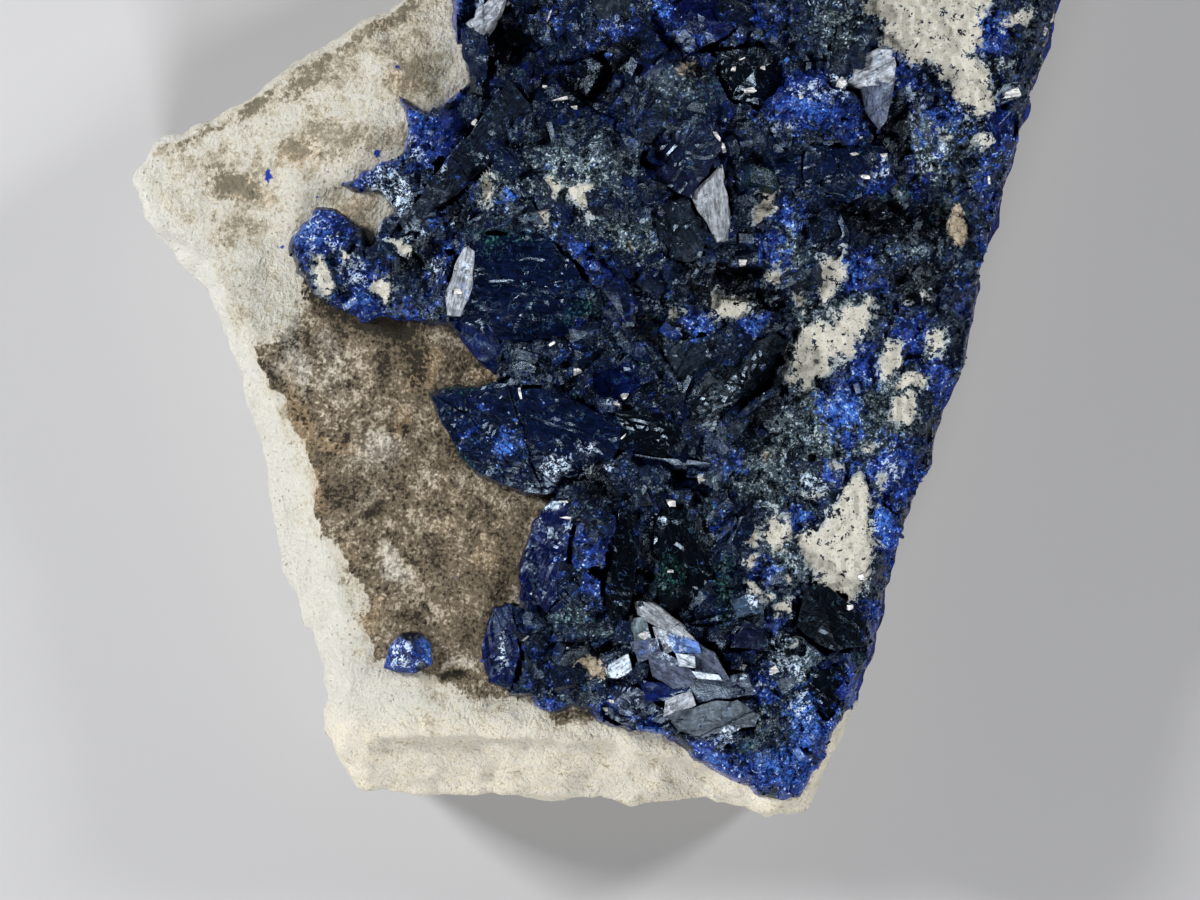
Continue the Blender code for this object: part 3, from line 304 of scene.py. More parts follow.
# Where the crystals are clear dark glass with few cracks.
CALM_SPOTS = [
    (60.5, 38.6, 2.6, 1.8), (57.6, 42.6, 3.4, 2.4, 20), (64.6, 43.2, 3.2, 2.2), (52.0, 27.4, 3.4, 3.6),
    (56.6, 31.4, 2.6, 2.0, 20, 0.9), (63.4, 32.0, 3.0, 1.6, -20), (83.0, 61.8, 3.4, 3.0),
    (82.6, 68.6, 1.8, 2.4), (75.0, 8.0, 3.2, 2.6), (66.4, 17.0, 2.6, 3.4, 30, 0.9),
    (57.4, 8.6, 3.6, 2.4, 20), (66.2, 53.4, 2.0, 2.8, 0, 0.9), (74.0, 38.0, 4.0, 2.0, -42),
    (68.6, 57.0, 1.8, 3.0, 0, 0.8), (49.6, 4.6, 1.8, 3.6, -10, 0.9), (53.6, 8.0, 2.6, 1.8, -30, 0.8),
    (67.6, 22.8, 2.4, 2.4, 0, 0.9), (46.4, 14.6, 2.2, 4.6, 30, 0.8), (61.8, 54.6, 1.4, 4.6, 8, 0.9),
    (54.2, 53.0, 1.2, 3.4, 10, 0.8), (67.4, 67.0, 2.0, 1.2, 20), (71.0, 66.2, 2.0, 1.4, 40, 0.9),
    (74.8, 63.8, 1.8, 1.4, 0, 0.9), (62.8, 70.8, 3.2, 1.2, 30, 0.7), (82.6, 17.0, 3.6, 1.8, 0, 0.8),
    (77.6, 17.0, 2.0, 1.8, 0, 0.8), (72.4, 12.6, 1.8, 1.8, 0, 0.8), (90.8, 21.8, 4.0, 1.8, 0, 0.8),
    (99.6, 13.0, 1.4, 2.6, 0, 0.8), (50.4, 40.2, 3.6, 1.0, 5, 0.8), (64.6, 5.0, 2.4, 2.6, 0, 0.9),
    (62.0, 11.6, 3.0, 1.4, 10, 0.8), (56.0, 12.0, 3.4, 1.4, 15, 0.7), (64.0, 27.6, 3.0, 1.6, 10, 0.8),
    (70.6, 35.6, 2.6, 1.8, 0, 0.8), (71.0, 41.0, 3.0, 1.8, -40, 0.9), (65.6, 39.6, 2.0, 1.6, 0, 0.7),
    (60.0, -4.0, 3.0, 2.0, 0, 0.8), (70.0, 1.6, 2.6, 2.4, 0, 0.7), (79.0, -7.0, 3.0, 2.4, 0, 0.8),
]
# Where the fine crust stays clear of the large crystals.
OPEN_SPOTS = [
    (59.0, 55.6, 2.4, 4.6, 15, 0.9), (52.0, 27.6, 5.0, 4.6, 0, 0.8), (52.4, 43.6, 6.4, 3.4, 10, 0.7),
    (66.4, 62.4, 3.6, 2.2, 35), (69.6, 66.4, 4.6, 3.2, 35), (62.0, 66.4, 2.0, 1.6),
    (46.2, 28.4, 1.4, 4.2, 12), (49.0, 1.6, 3.0, 3.2), (87.0, 9.2, 2.6, 4.6),
    (71.0, 20.8, 2.6, 4.6, 0, 0.9), (71.0, 71.8, 5.0, 2.0, 0, 0.7), (75.0, 8.0, 3.8, 3.4),
    (74.4, 38.0, 5.2, 2.0, -42), (62.2, 56.6, 1.4, 6.0, 8, 0.7), (50.2, 64.8, 2.0, 4.6, 0, 0.8),
    (63.4, 70.6, 3.6, 1.8, 25, 0.9), (83.2, 61.8, 3.8, 3.4), (54.4, 55.6, 2.0, 5.6, 10, 0.8),
    (44.6, 17.0, 2.0, 6.0, 40, 0.8),
]
# Painted shadow: the azurite darkened in these hollows under ledges.
HOLLOW_SHADOWS = [
    (88.6, 13.6, 1.0, 2.6), (56.8, 55.6, 0.5, 4.0, 10, 0.8), (78.0, 36.6, 0.7, 2.4, -45, 0.8),
    (60.0, 7.6, 4.0, 2.0, 35), (50.4, 4.6, 1.6, 3.0, -10), (73.0, 28.8, 4.6, 1.7, -14),
    (90.5, 22.2, 6.0, 1.7, -8), (89.8, 14.6, 0.8, 4.4, -4), (91.6, 28.4, 2.6, 1.8, 0, 0.7),
    (83.0, 62.4, 3.8, 2.2, -20, 0.6), (67.0, 33.6, 4.4, 1.0, -20, 0.7), (43.2, 24.2, 4.0, 0.9, 38, 0.8),
    (59.6, 48.0, 0.9, 1.4), (64.6, 56.5, 1.0, 5.0, -12, 0.8), (76.0, 41.6, 1.0, 3.4, -42, 0.6),
    (58.0, 65.4, 2.6, 1.6, 0, 0.6),
]

# The rock's stains: the iron-brown field, and blots of other colours, and painted shade along the
# upper-left edge.
STAIN_FIELD = [
    (30.6, 28.4), (30.2, 30.0), (28.8, 31.4), (27.0, 32.6), (25.6, 34.2), (25.8, 37.0), (27.6, 40.6),
    (29.4, 44.0), (30.8, 46.8), (31.1, 50.0), (32.2, 52.3), (33.8, 55.5), (35.2, 56.5), (36.2, 61.1),
    (37.8, 65.7), (40.3, 67.3), (43.2, 68.6), (46.7, 69.0), (48.0, 69.4), (50.0, 70.4), (53.4, 70.6),
    (56.4, 71.4), (58.4, 71.8), (60.0, 70.0), (60.0, 45.0), (50.0, 30.0), (40.0, 30.0), (34.0, 29.4),
]
# Dark stains; the row of thin blots along the upper-left edge, turned about 30 degrees, is painted shade on
# its bevel.
DARK_STAINS_AND_EDGE_SHADE = [
    (38.6, 32.0, 4.0, 2.0, -14), (41.6, 36.2, 1.8, 3.6, 0, 0.75), (34.0, 30.8, 2.6, 1.8, -30, 0.8),
    (31.2, 29.4, 1.6, 1.4, -40, 0.7), (22.4, 18.4, 2.6, 1.5, -10), (20.6, 17.6, 1.2, 1.0, 0, 0.7),
    (24.4, 19.4, 1.4, 0.8, -20, 0.8), (25.2, 10.6, 2.4, 1.1, 33), (21.0, 21.6, 0.6, 0.8, 0, 0.8),
    (17.4, 14.4, 2.4, 0.7, 30, 0.8), (30.0, 8.4, 2.4, 0.9, 27, 0.75), (29.4, 6.6, 1.6, 0.7, 27, 0.7),
    (34.4, 5.0, 2.0, 0.6, 27, 0.6), (38.4, 1.6, 2.6, 0.7, 32, 0.6), (42.6, -1.2, 2.4, 0.8, 33, 0.6),
    (29.4, 43.6, 1.2, 1.0, 0, 0.4), (34.6, 43.8, 0.9, 0.8, 0, 0.8), (31.2, 39.2, 0.9, 0.8, 0, 0.8),
    (37.0, 51.4, 1.2, 1.0, 0, 0.8), (33.4, 50.6, 1.4, 1.2, 0, 0.5), (32.6, 53.6, 0.5, 0.5, 0, 0.9),
    (31.4, 46.2, 1.0, 2.2, 20, 0.5), (39.4, 46.6, 2.2, 0.8, -20, 0.35),
    (44.8, 45.6, 0.8, 2.4, 10, 0.45), (41.2, 58.8, 2.4, 3.0, 30, 0.3), (45.8, 63.6, 3.4, 2.0, 0, 0.45),
    (35.2, 58.6, 1.2, 3.4, 6, 0.6), (37.6, 61.6, 2.2, 1.0, 0, 0.5), (40.6, 61.8, 1.6, 0.9, 0, 0.6),
    (46.0, 68.0, 2.0, 0.9, -10, 0.7), (44.0, 59.0, 1.4, 2.2, 0, 0.5), (47.6, 58.6, 1.6, 3.0, 0, 0.4),
    (40.6, 56.2, 2.2, 0.7, -35, 0.6), (51.2, 51.6, 2.4, 1.4, 0, 0.35), (51.0, 55.4, 1.4, 2.6, 10, 0.45),
    (52.0, 70.2, 2.0, 0.6, 0, 0.45), (59.4, 71.4, 1.6, 0.6, 0, 0.5), (22.0, 12.2, 3.0, 0.7, 27, 0.8),
    (27.4, 9.4, 3.0, 0.7, 27, 0.7), (32.4, 6.2, 3.0, 0.8, 30, 0.8), (36.4, 4.0, 2.4, 0.6, 30, 0.7),
    (40.0, 1.2, 2.4, 0.7, 32, 0.8), (47.0, 39.8, 2.4, 0.8, 0, 0.3), (18.2, 19.0, 0.5, 0.5, 0, 0.5),
    (38.5, 36.6, 1.0, 2.6, 0, 0.7), (34.6, 49.4, 2.4, 1.8, 0, 0.6), (44.4, 56.2, 1.4, 2.2, 0, 0.6),
    (26.6, 37.0, 0.7, 2.6, 18, 0.7), (30.0, 14.6, 2.8, 1.2, -4, 0.42), (40.6, 7.8, 2.4, 1.4, 10, 0.42),
    (36.0, 13.4, 2.0, 1.2, 0, 0.3), (23.6, 24.6, 0.8, 2.6, 10, 0.35), (46.4, 46.6, 0.9, 2.6, 32, 0.6),
    (41.6, 49.4, 2.4, 1.4, 20, 0.4),
]
OCHRE_STAINS = [
    (23.8, 18.8, 2.4, 1.4, -20, 0.8), (30.0, 15.0, 3.0, 1.4, 0, 0.6), (40.8, 8.0, 2.6, 1.6, 0, 0.7),
    (45.4, 32.6, 1.0, 1.0), (42.8, 36.6, 1.2, 2.0, -40, 0.8), (48.6, 37.6, 2.0, 0.8, 0, 0.6),
    (29.6, 41.6, 1.2, 3.4, 18), (28.2, 37.6, 1.0, 2.4, 20, 0.7), (33.2, 44.4, 2.4, 1.0, -10, 0.9),
    (40.4, 41.8, 1.3, 1.1, 30, 0.9), (31.4, 48.6, 0.9, 2.6, 12, 0.8), (34.6, 55.4, 1.4, 2.0, 0, 0.5),
    (35.6, 21.6, 2.2, 1.8, -30, 0.7), (37.6, 19.8, 0.9, 1.4, 0, 0.5), (40.6, 7.4, 2.4, 1.6, 0, 0.5),
    (29.0, 14.2, 3.4, 1.6, -5, 0.45), (26.0, 19.8, 1.6, 0.8, -25, 0.6), (38.0, 3.0, 4.0, 1.0, 30, 0.4),
    (53.8, 69.4, 2.4, 0.7, -10, 0.8), (36.8, 62.0, 1.2, 2.6, 0, 0.5), (49.0, 55.0, 2.2, 4.0, 0, 0.4),
    (21.6, 27.8, 0.8, 1.6, 0, 0.6), (22.0, 31.2, 0.8, 2.0, 15, 0.6), (45.0, 50.0, 2.4, 3.4, 0, 0.35),
    (42.0, 76.0, 1.0, 2.6, 50, 0.6), (46.4, 75.2, 0.9, 2.2, 50, 0.6), (50.4, 75.0, 1.0, 2.2, 50, 0.6),
    (38.6, 77.4, 0.8, 1.8, 50, 0.5), (55.6, 77.0, 3.4, 1.0, 5, 0.5), (62.6, 77.6, 3.4, 1.0, 0, 0.4),
    (37.0, 72.4, 3.0, 0.5, 5, 0.4), (44.4, 73.4, 4.0, 0.5, 5, 0.45), (54.0, 74.4, 4.0, 0.5, 4, 0.5),
    (34.6, 70.2, 0.9, 1.2, 0, 0.3), (68.0, 78.6, 2.6, 0.8, -10, 0.4),
]
GREY_STREAKS = [
    (28.8, 33.0, 1.4, 3.4, 20, 0.9), (30.0, 37.4, 1.2, 3.0, 10, 0.7), (24.2, 24.4, 1.4, 4.6, 12, 0.9),
    (26.2, 30.8, 1.8, 3.2, 25, 0.9), (28.6, 36.4, 2.4, 2.6, 30, 0.6), (37.4, 45.6, 3.4, 2.6, 0, 0.5),
    (33.8, 37.6, 2.4, 3.4, 20, 0.4), (39.6, 56.6, 2.8, 1.2, -55, 0.7), (33.0, 35.0, 1.6, 1.8, 0, 0.6),
    (46.2, 47.6, 2.6, 1.6, 10, 0.4), (36.6, 49.4, 2.4, 1.6, 0, 0.4),
]
CLEAN_BAND = [
    (12.0, 16.0), (17.0, 20.0), (20.0, 26.0), (23.0, 31.0), (24.6, 35.0), (25.8, 39.0), (27.6, 43.0),
    (29.6, 46.8), (30.0, 50.4), (31.2, 53.4), (32.6, 57.0), (33.8, 61.0), (35.2, 65.4), (38.0, 68.4),
    (42.0, 70.0), (38.0, 72.0), (30.0, 74.0), (20.0, 60.0), (14.0, 40.0), (10.0, 24.0),
]
MOTTLED = [
    (31.0, 14.4, 4.4, 2.4, 10), (41.0, 7.6, 3.6, 2.4, 20), (20.0, 15.6, 4.0, 1.6, 30, 0.6),
    (36.0, 21.0, 2.6, 2.0, -20), (25.6, 18.6, 3.4, 2.0, -10, 0.7), (42.4, 2.4, 2.2, 2.4, 20, 0.8),
    (30.0, 8.0, 8.0, 1.4, 27, 0.9), (40.0, 1.0, 6.0, 1.6, 30, 0.9), (20.0, 12.6, 5.0, 1.0, 27, 0.8),
    (24.0, 22.4, 2.0, 1.6, 0, 0.6), (40.0, 13.6, 1.0, 1.4, 0, 0.5), (34.0, 10.6, 3.0, 1.4, 20, 0.5),
]
BLUE_FLECKS = [
    (26.8, 17.6, 0.35, 0.75, 15), (28.9, 21.0, 0.3, 0.3, 0, 0.8), (28.0, 24.5, 0.5, 0.3, 0, 0.8),
    (39.8, 6.6, 0.4, 0.3, 0, 0.8), (37.8, 15.4, 0.5, 0.4, 0, 0.9), (47.9, 65.8, 0.25, 0.6, 20, 0.8),
    (31.8, 19.8, 0.4, 0.2, 0, 0.7), (45.8, 57.6, 0.5, 0.2, 30, 0.6),
]
PALE_STREAKS = [
    (34.0, 37.6, 2.0, 2.6, 30, 0.5), (31.0, 36.0, 2.0, 1.6, 0, 0.5), (37.2, 43.4, 2.0, 1.4, 0, 0.6),
    (32.4, 41.0, 1.0, 1.0, 0, 0.6), (42.4, 48.4, 2.6, 1.8, 30, 0.5), (36.6, 47.6, 1.4, 2.2, 20, 0.4),
    (40.2, 57.6, 1.4, 3.4, 38), (43.2, 61.0, 1.2, 1.0, 0, 0.7), (45.6, 66.6, 2.0, 1.1, 0, 0.9),
    (42.6, 43.0, 1.6, 1.2, 0, 0.4), (34.0, 42.8, 1.2, 2.0, 20, 0.4), (49.0, 58.0, 1.0, 1.8, 0, 0.3),
]

# ------------------------------------------------------------------------------- shader maths


class Wire:
    """An output of a node, so that shader maths reads as Python."""

    def __init__(self, finish, socket):
        self.finish, self.socket = finish, socket

    def math(self, operation, *others):
        return self.finish.node("Math", {"operation": operation}, dict(enumerate((self, *others))))

    def __add__(self, other):
        return self.math("ADD", other)

    def __sub__(self, other):
        return self.math("SUBTRACT", other)

    def __rsub__(self, other):
        return self.finish.node("Math", {"operation": "SUBTRACT"}, {0: other, 1: self})

    def __mul__(self, other):
        return self.math("MULTIPLY", other)

    __radd__, __rmul__ = __add__, __mul__

    def over(self, edge):
        """1 where this is greater than edge."""
        return self.math("GREATER_THAN", edge)

    def most(self, other):
        return self.math("MAXIMUM", other)

    def least(self, other):
        return self.math("MINIMUM", other)

    def from_to(self, low, high):
        """A smooth rise from 0 at low to 1 at high."""
        return self.finish.node("MapRange", {"interpolation_type": "SMOOTHSTEP"},
                                {"Value": self, "From Min": low, "From Max": high})


class Finish:
    """A material in the making."""

    def __init__(self, name):
        self.material = bpy.data.materials.new(name)
        self.material.use_nodes = True
        self.tree = self.material.node_tree
        self.surface = self.tree.nodes["Principled BSDF"]
        self.place = self.node("TexCoord", out="Object")

    def feed(self, socket, value):
        if isinstance(value, Wire):
            self.tree.links.new(value.socket, socket)
        elif socket.type == "RGBA" and len(value) == 3:
            socket.default_value = (*value, 1.0)
        else:
            socket.default_value = value

    def node(self, kind, settings=None, sockets=None, out=0):
        """Adds a node: its settings first, then the values or links of its sockets."""
        made = self.tree.nodes.new("ShaderNode" + kind)
        for setting, value in (settings or {}).items():
            setattr(made, setting, value)
        for socket, value in (sockets or {}).items():
            self.feed(made.inputs[socket], value)
        return Wire(self, made.outputs[out])

    def attribute(self, name, out="Fac"):
        return self.node("Attribute", {"attribute_name": name}, out=out)

    def noise(self, size, detail=3.0, roughness=0.6, at=None):
        """Noise from 0 to 1 with features of a size in millimetres."""
        return self.node("TexNoise", None, {"Vector": at or self.place, "Scale": 1.0 / (size * MM),
                                            "Detail": detail, "Roughness": roughness})

    def cells(self, size, out="Color", feature="F1", at=None):
        """Random cells of a size in millimetres."""
        return self.node("TexVoronoi", {"feature": feature},
                         {"Vector": at or self.place, "Scale": 1.0 / (size * MM)}, out=out)

    def grained(self, angle, stretch):
        """The place turned about upright and stretched, for a noise with a grain to it."""
        turned = self.node("VectorRotate", {"rotation_type": "Z_AXIS"},
                           {"Vector": self.place, "Angle": angle})
        return self.node("VectorMath", {"operation": "MULTIPLY"}, {0: turned, 1: stretch})

    def mix(self, first, second, amount):
        """A colour between two."""
        return self.node("Mix", {"data_type": "RGBA"}, {0: amount, 6: first, 7: second}, out=2)

    def shade(self, colour, amount):
        """A colour made lighter or darker."""
        return self.node("VectorMath", {"operation": "SCALE"}, {0: colour, "Scale": amount})

    def part_of(self, colour, channel):
        return self.node("SeparateColor", None, {0: colour}, out=channel)

    def bump(self, height, distance, below=None, strength=1.0):
        sockets = {"Height": height, "Distance": distance * MM, "Strength": strength}
        if below is not None:
            sockets["Normal"] = below
        return self.node("Bump", None, sockets)

    def tilted(self, colour, amount):
        """The surface's normal leaning a different way in every cell."""
        normal = self.node("NewGeometry", out="Normal")
        lean = self.node("VectorMath", {"operation": "SUBTRACT"}, {0: colour, 1: (0.5, 0.5, 0.5)})
        lean = self.node("VectorMath", {"operation": "SCALE"}, {0: lean, "Scale": amount})
        total = self.node("VectorMath", {"operation": "ADD"}, {0: normal, 1: lean})
        return self.node("VectorMath", {"operation": "NORMALIZE"}, {0: total})

    def set(self, **sockets):
        for name, value in sockets.items():
            self.feed(self.surface.inputs[name.replace("_", " ")], value)
        return self.material


# Colours.
CREAM = (0.585, 0.555, 0.475)
SAND = (0.46, 0.415, 0.32)
FRESH_ROCK = (0.60, 0.59, 0.54)
WARM_CREAM = (0.74, 0.675, 0.535)
CHALK = (0.53, 0.52, 0.455)
SOIL = (0.028, 0.023, 0.016)
BROWN = (0.165, 0.132, 0.088)
BUFF = (0.46, 0.405, 0.31)
PALE_BUFF = (0.66, 0.62, 0.53)
OCHRE = (0.33, 0.235, 0.135)
STRAW = (0.58, 0.46, 0.31)
ROCK_GREY = (0.30, 0.30, 0.285)
OLIVE = (0.155, 0.135, 0.09)
BLACK = (0.0012, 0.0022, 0.0045)
CHARCOAL = (0.010, 0.0155, 0.026)
NAVY = (0.0022, 0.0056, 0.026)
INDIGO = (0.0025, 0.0075, 0.066)
NIGHT = (0.0016, 0.0040, 0.045)
INK = (0.0070, 0.0105, 0.021)
GLOW = (0.003, 0.007, 0.12)
ULTRAMARINE = (0.013, 0.043, 0.31)
AZURE = (0.060, 0.20, 0.68)
ICE = (0.30, 0.46, 0.68)
# Near-white for painted glints and painted glitter.
GLINT_WHITE = (0.60, 0.69, 0.80)
ASH = (0.029, 0.041, 0.046)
LEAD = (0.110, 0.148, 0.166)
BONE = (0.38, 0.435, 0.455)
STEEL = (0.038, 0.067, 0.122)
SILVER = (0.21, 0.265, 0.32)
# Painted reflections: light greys for plates that shine.
FOIL_SHEEN = (0.36, 0.39, 0.44)
PEWTER_SHEEN = (0.27, 0.29, 0.32)
SKY = (0.10, 0.19, 0.48)
SLATE = (0.088, 0.104, 0.162)
MIST = (0.062, 0.074, 0.092)
DUSK = (0.0045, 0.0065, 0.026)
PINE = (0.006, 0.028, 0.020)
VERDIGRIS = (0.05, 0.22, 0.18)


def rock_finish():
    """Sandy clay rock: cream grains, a brown weathered field, and blots of other colours.

    One grain runs from 0, in the middle of it, to dark pits below and pale sand above.
    """
    f = Finish("sandy_rock")
    coarse = f.noise(2.4, 4.0, 0.6) - 0.5
    lump = f.noise(0.80, 3.0, 0.65) - 0.5
    fibres = f.noise(0.34, 4.0, 0.7, f.grained(0.35, (1.0, 0.6, 0.8))) - 0.5
    sand = f.part_of(f.cells(0.24), "Red") - 0.5
    layers = f.noise(0.55, 4.0, 0.65, f.grained(-0.12, (0.16, 1.0, 1.0))) - 0.5
    ridges = f.noise(1.5, 3.0, 0.6, f.grained(0.85, (0.35, 1.0, 1.0))) - 0.5
    fresh = f.attribute("fresh").from_to(0.2, 0.8)
    clean = (f.attribute("clean") + coarse * 0.5).from_to(0.2, 0.8)
    layered = f.attribute("layered")
    stain = (f.attribute("stain") + coarse * 0.9 + lump * 1.3 + fibres * 1.2).from_to(0.34, 0.62)
    # Dark stains, and the painted shade along the upper-left edge.
    dark = (f.attribute("dark") + coarse * 0.9 + lump * 1.7 + fibres * 1.9).from_to(0.22, 1.20)
    ochre = (f.attribute("ochre") + coarse * 1.4 + lump * 0.6).from_to(0.20, 0.75)
    grey = (f.attribute("grey") + coarse * 0.8).from_to(0.2, 0.8)
    pale = (f.attribute("pale") + lump * 1.2).from_to(0.30, 0.75)
    mottle = f.noise(3.0, 5.0, 0.7) - 0.5 + lump * 0.4 + fibres * 0.5 + f.attribute("mottled") * 0.16
    mottle = mottle.from_to(0.0, 0.20) * (1.0 - fresh) * (1.0 - layered * 0.7)
    mottle = mottle * (1.0 - stain) * (1.0 - clean)

    grain = lump * 0.8 + fibres * 1.15 + sand * 0.36
    shade = grain * (1.0 - (clean * 0.55).most(fresh * 0.2)) + coarse * (0.5 + stain * 0.8) - stain * 0.06
    shade = shade + (1.0 - stain) * 0.31 - mottle * 0.66 - dark * (0.48 + dark * 0.35)
    shade = shade + pale * 0.30 + clean * 0.04
    shade = shade + fresh * 0.30 + layered * (layers * 1.4 + ridges * 1.6 + 0.20)
    pit = f.mix(f.mix(SAND, OLIVE, 0.7), SOIL, stain.most(dark * 0.4))
    low = f.mix(SAND, BROWN, stain.most(dark * 0.6))
    high = f.mix(CREAM, BUFF, stain)
    top = f.mix(FRESH_ROCK, PALE_BUFF, stain)
    low = f.mix(f.mix(low, OCHRE, ochre * 0.6), ROCK_GREY, grey * stain * 0.4)
    high = f.mix(f.mix(high, STRAW, ochre * 0.6), f.mix(ROCK_GREY, CHALK, 0.7), grey * 0.6)
    high = f.mix(f.mix(high, FRESH_ROCK, clean * 0.6), WARM_CREAM, layered)
    top = f.mix(top, WARM_CREAM, layered * 0.5)
    low = f.mix(low, CREAM, clean * 0.6)
    body = f.mix(pit, low, shade.from_to(-0.42, -0.06))
    body = f.mix(body, high, shade.from_to(-0.04, 0.24))
    body = f.mix(body, top, shade.from_to(0.24, 0.48))
    speck = (f.part_of(f.cells(0.20), "Green") + coarse * 0.08).over(0.992)
    body = f.mix(body, SOIL, speck * (0.5 - layered * 0.3))
    body = f.mix(body, ULTRAMARINE, (f.attribute("fleck") + lump * 0.8 + fibres * 0.6).from_to(0.40, 0.60))
    rim = (f.attribute("rim") + lump * 1.4).from_to(0.35, 0.60)
    body = f.mix(body, f.mix(BLACK, ULTRAMARINE, (grain + 0.5).from_to(0.35, 0.75)), rim)
    normal = f.bump(lump + ridges * layered, 0.50)
    normal = f.bump(fibres, 0.40, normal)
    normal = f.bump(sand, 0.05, normal)
    return f.set(Base_Color=body, Roughness=0.93, Normal=normal, Specular_IOR_Level=0.2)


def azurite_finish():
    """Azurite: dark glass with blue depths, cracks and flecks, drusy patches and chalk windows.

    The zones are painted on the meshes, and the noise breaks their edges up into grains.
    """
    f = Finish("azurite")
    wide = f.noise(2.6, 3.0)
    patch = f.noise(0.75, 4.0, 0.65) - 0.5
    tint = f.noise(0.95, 3.0, 0.6) - 0.5
    fine = f.noise(0.24, 3.0, 0.7) - 0.5
    grit = f.cells(0.19)
    grit_a, grit_b, grit_c = (f.part_of(grit, name) for name in ("Red", "Green", "Blue"))
    warp = f.node("TexNoise", None, {"Vector": f.place, "Scale": 900.0}, out="Color")
    wobble = f.node("VectorMath", {"operation": "ADD"}, {0: f.place, 1: f.shade(warp, 0.0018)})
    mosaic = f.cells(1.5, at=wobble)
    pane = f.part_of(mosaic, "Red")
    streaks = f.noise(0.17, 3.0, 0.7, f.grained(pane * 3.1, (0.13, 1.0, 0.4)))
    hatch = f.noise(0.30, 4.0, 0.75, f.grained(f.attribute("trend"), (0.16, 1.0, 0.4)))

    glass = f.attribute("glass")
    dull = f.attribute("dull")
    lined = f.attribute("lined")
    tone = f.attribute("tone", "Color")
    bright = f.part_of(tone, "Red").from_to(0.04, 0.15) * glass
    edge = patch * 1.6 + fine * 0.9
    # Painted shadow in the hollows under ledges, and darker patches on the nodule.
    shadow_and_dark = (f.attribute("shadow_and_dark") + edge * 0.4).from_to(0.12, 0.42)
    ash = (f.attribute("ash") * (1.0 - glass * 0.5) + edge * 0.5).from_to(0.10, 0.90)
    green = (f.attribute("green") + edge * 0.7).from_to(0.40, 1.0)
    # Where white glitter is painted, standing for fine crystals that glint.
    painted_glitter = (f.attribute("painted_glitter") + edge * 0.6).from_to(0.30, 0.80)
    halo = (f.attribute("chalk") + edge * 0.6).from_to(0.02, 0.50)
    calm = f.attribute("calm") + (wide - 0.42) * 1.0 + edge * 0.10 - ash * 0.4
    calm = calm.from_to(0.40, 0.75)
    blue = f.attribute("blue") * (0.68 - glass * 0.2) + f.attribute("azure") * 0.2 + tint * 2.2
    blue = (blue + patch * 1.1 + fine * 0.9 + 0.05).from_to(0.36, 0.66) * (1.0 - bright)
    blue = blue * (1.0 - calm * 0.8)
    azure = (f.attribute("azure") * (1.0 - glass * 0.2) + tint * 1.3 + fine * 0.8).from_to(0.45, 1.0)
    misty = (f.attribute("blue") + tint * 1.2).from_to(0.25, 0.95) * (1.0 - bright)

    light = patch * 1.1 + fine * 1.25 + (grit_a - 0.5) * 0.30 - 0.10
    light = light + ash * 0.16 + painted_glitter * 0.08 + halo * 0.14
    light = light - calm * 0.34 - shadow_and_dark * 0.5 - glass * (1.0 - blue) * (0.30 - dull * 0.3)
    dark = f.mix(BLACK, NAVY, wide.from_to(0.38, 0.62))
    dark = f.mix(dark, INDIGO, blue * 0.9 * light.from_to(-0.55, -0.15))
    dark = f.mix(dark, GLOW, tint.from_to(0.02, 0.16) * (0.3 + calm * 0.5) * (1.0 - ash) * (1.0 - bright))
    dark = f.mix(dark, f.mix(GLOW, ULTRAMARINE, 0.25), misty * (0.2 + calm * 0.6))
    middle = f.mix(f.mix(f.mix(NAVY, CHARCOAL, pane), ASH, ash), ULTRAMARINE, blue)
    high = f.mix(f.mix(STEEL, LEAD, ash.most(grit_b)), f.mix(ULTRAMARINE, AZURE, 0.4 + azure * 0.6), blue)
    high = f.mix(high, VERDIGRIS, 0.08 + green * 0.4)
    top = f.mix(f.mix(SILVER, BONE, ash.most(halo)), ICE, blue.most(painted_glitter * 0.7))
    worn = (0.15 + (hatch * 0.8 + patch * 0.5 + 0.25).from_to(0.46, 0.84) * 1.1) * (0.75 + pane * 0.5)
    body = f.mix(dark, middle, light.from_to(-0.22, 0.12))
    # The crystals' own tones, among them light greys and whites that are painted reflections and painted
    # glints.
    body = f.mix(body, f.shade(tone, worn), glass * (1.0 - blue * 0.6))
    body = f.mix(body, PINE, green * (patch * 3.0 + 0.4).from_to(0.2, 0.8) * 0.6 * (1.0 - bright))
    body = f.mix(body, high, light.from_to(0.08, 0.22) * (1.0 - bright))
    body = f.mix(body, top, light.from_to(0.24, 0.34) * (1.0 - bright))
    body = f.mix(body, AZURE, azure * (fine * 0.8 + grit_b * 0.5 + 0.4).from_to(0.50, 0.80) * 0.8)
    body = f.mix(body, VERDIGRIS, green * grit_c.over(0.88) * 0.6)
    # Painted glitter: crisp white blotches.
    crisp = (patch * 1.3 + fine * 1.1 + (grit_a - 0.5) * 0.2 + painted_glitter * 0.12).from_to(0.14, 0.21) * painted_glitter
    body = f.mix(body, f.mix(ICE, GLINT_WHITE, grit_b + 0.2), crisp)
    # Painted shadow: the colour darkened in the hollows, and on the nodule's darker patches.
    body = f.shade(body, 1.0 - shadow_and_dark * 0.9)

    hue = f.mix(f.mix(STEEL, VERDIGRIS, 0.12 + green * 0.3), f.mix(STEEL, AZURE, 0.45), blue)
    lines = (1.0 - shadow_and_dark * 0.9) * (1.0 - bright) * (1.0 - calm * 0.7)
    scratch = streaks.from_to(0.58, 0.74) * wide.from_to(0.40, 0.60) * lines
    body = f.mix(body, hue, scratch * (0.60 - blue * 0.3))
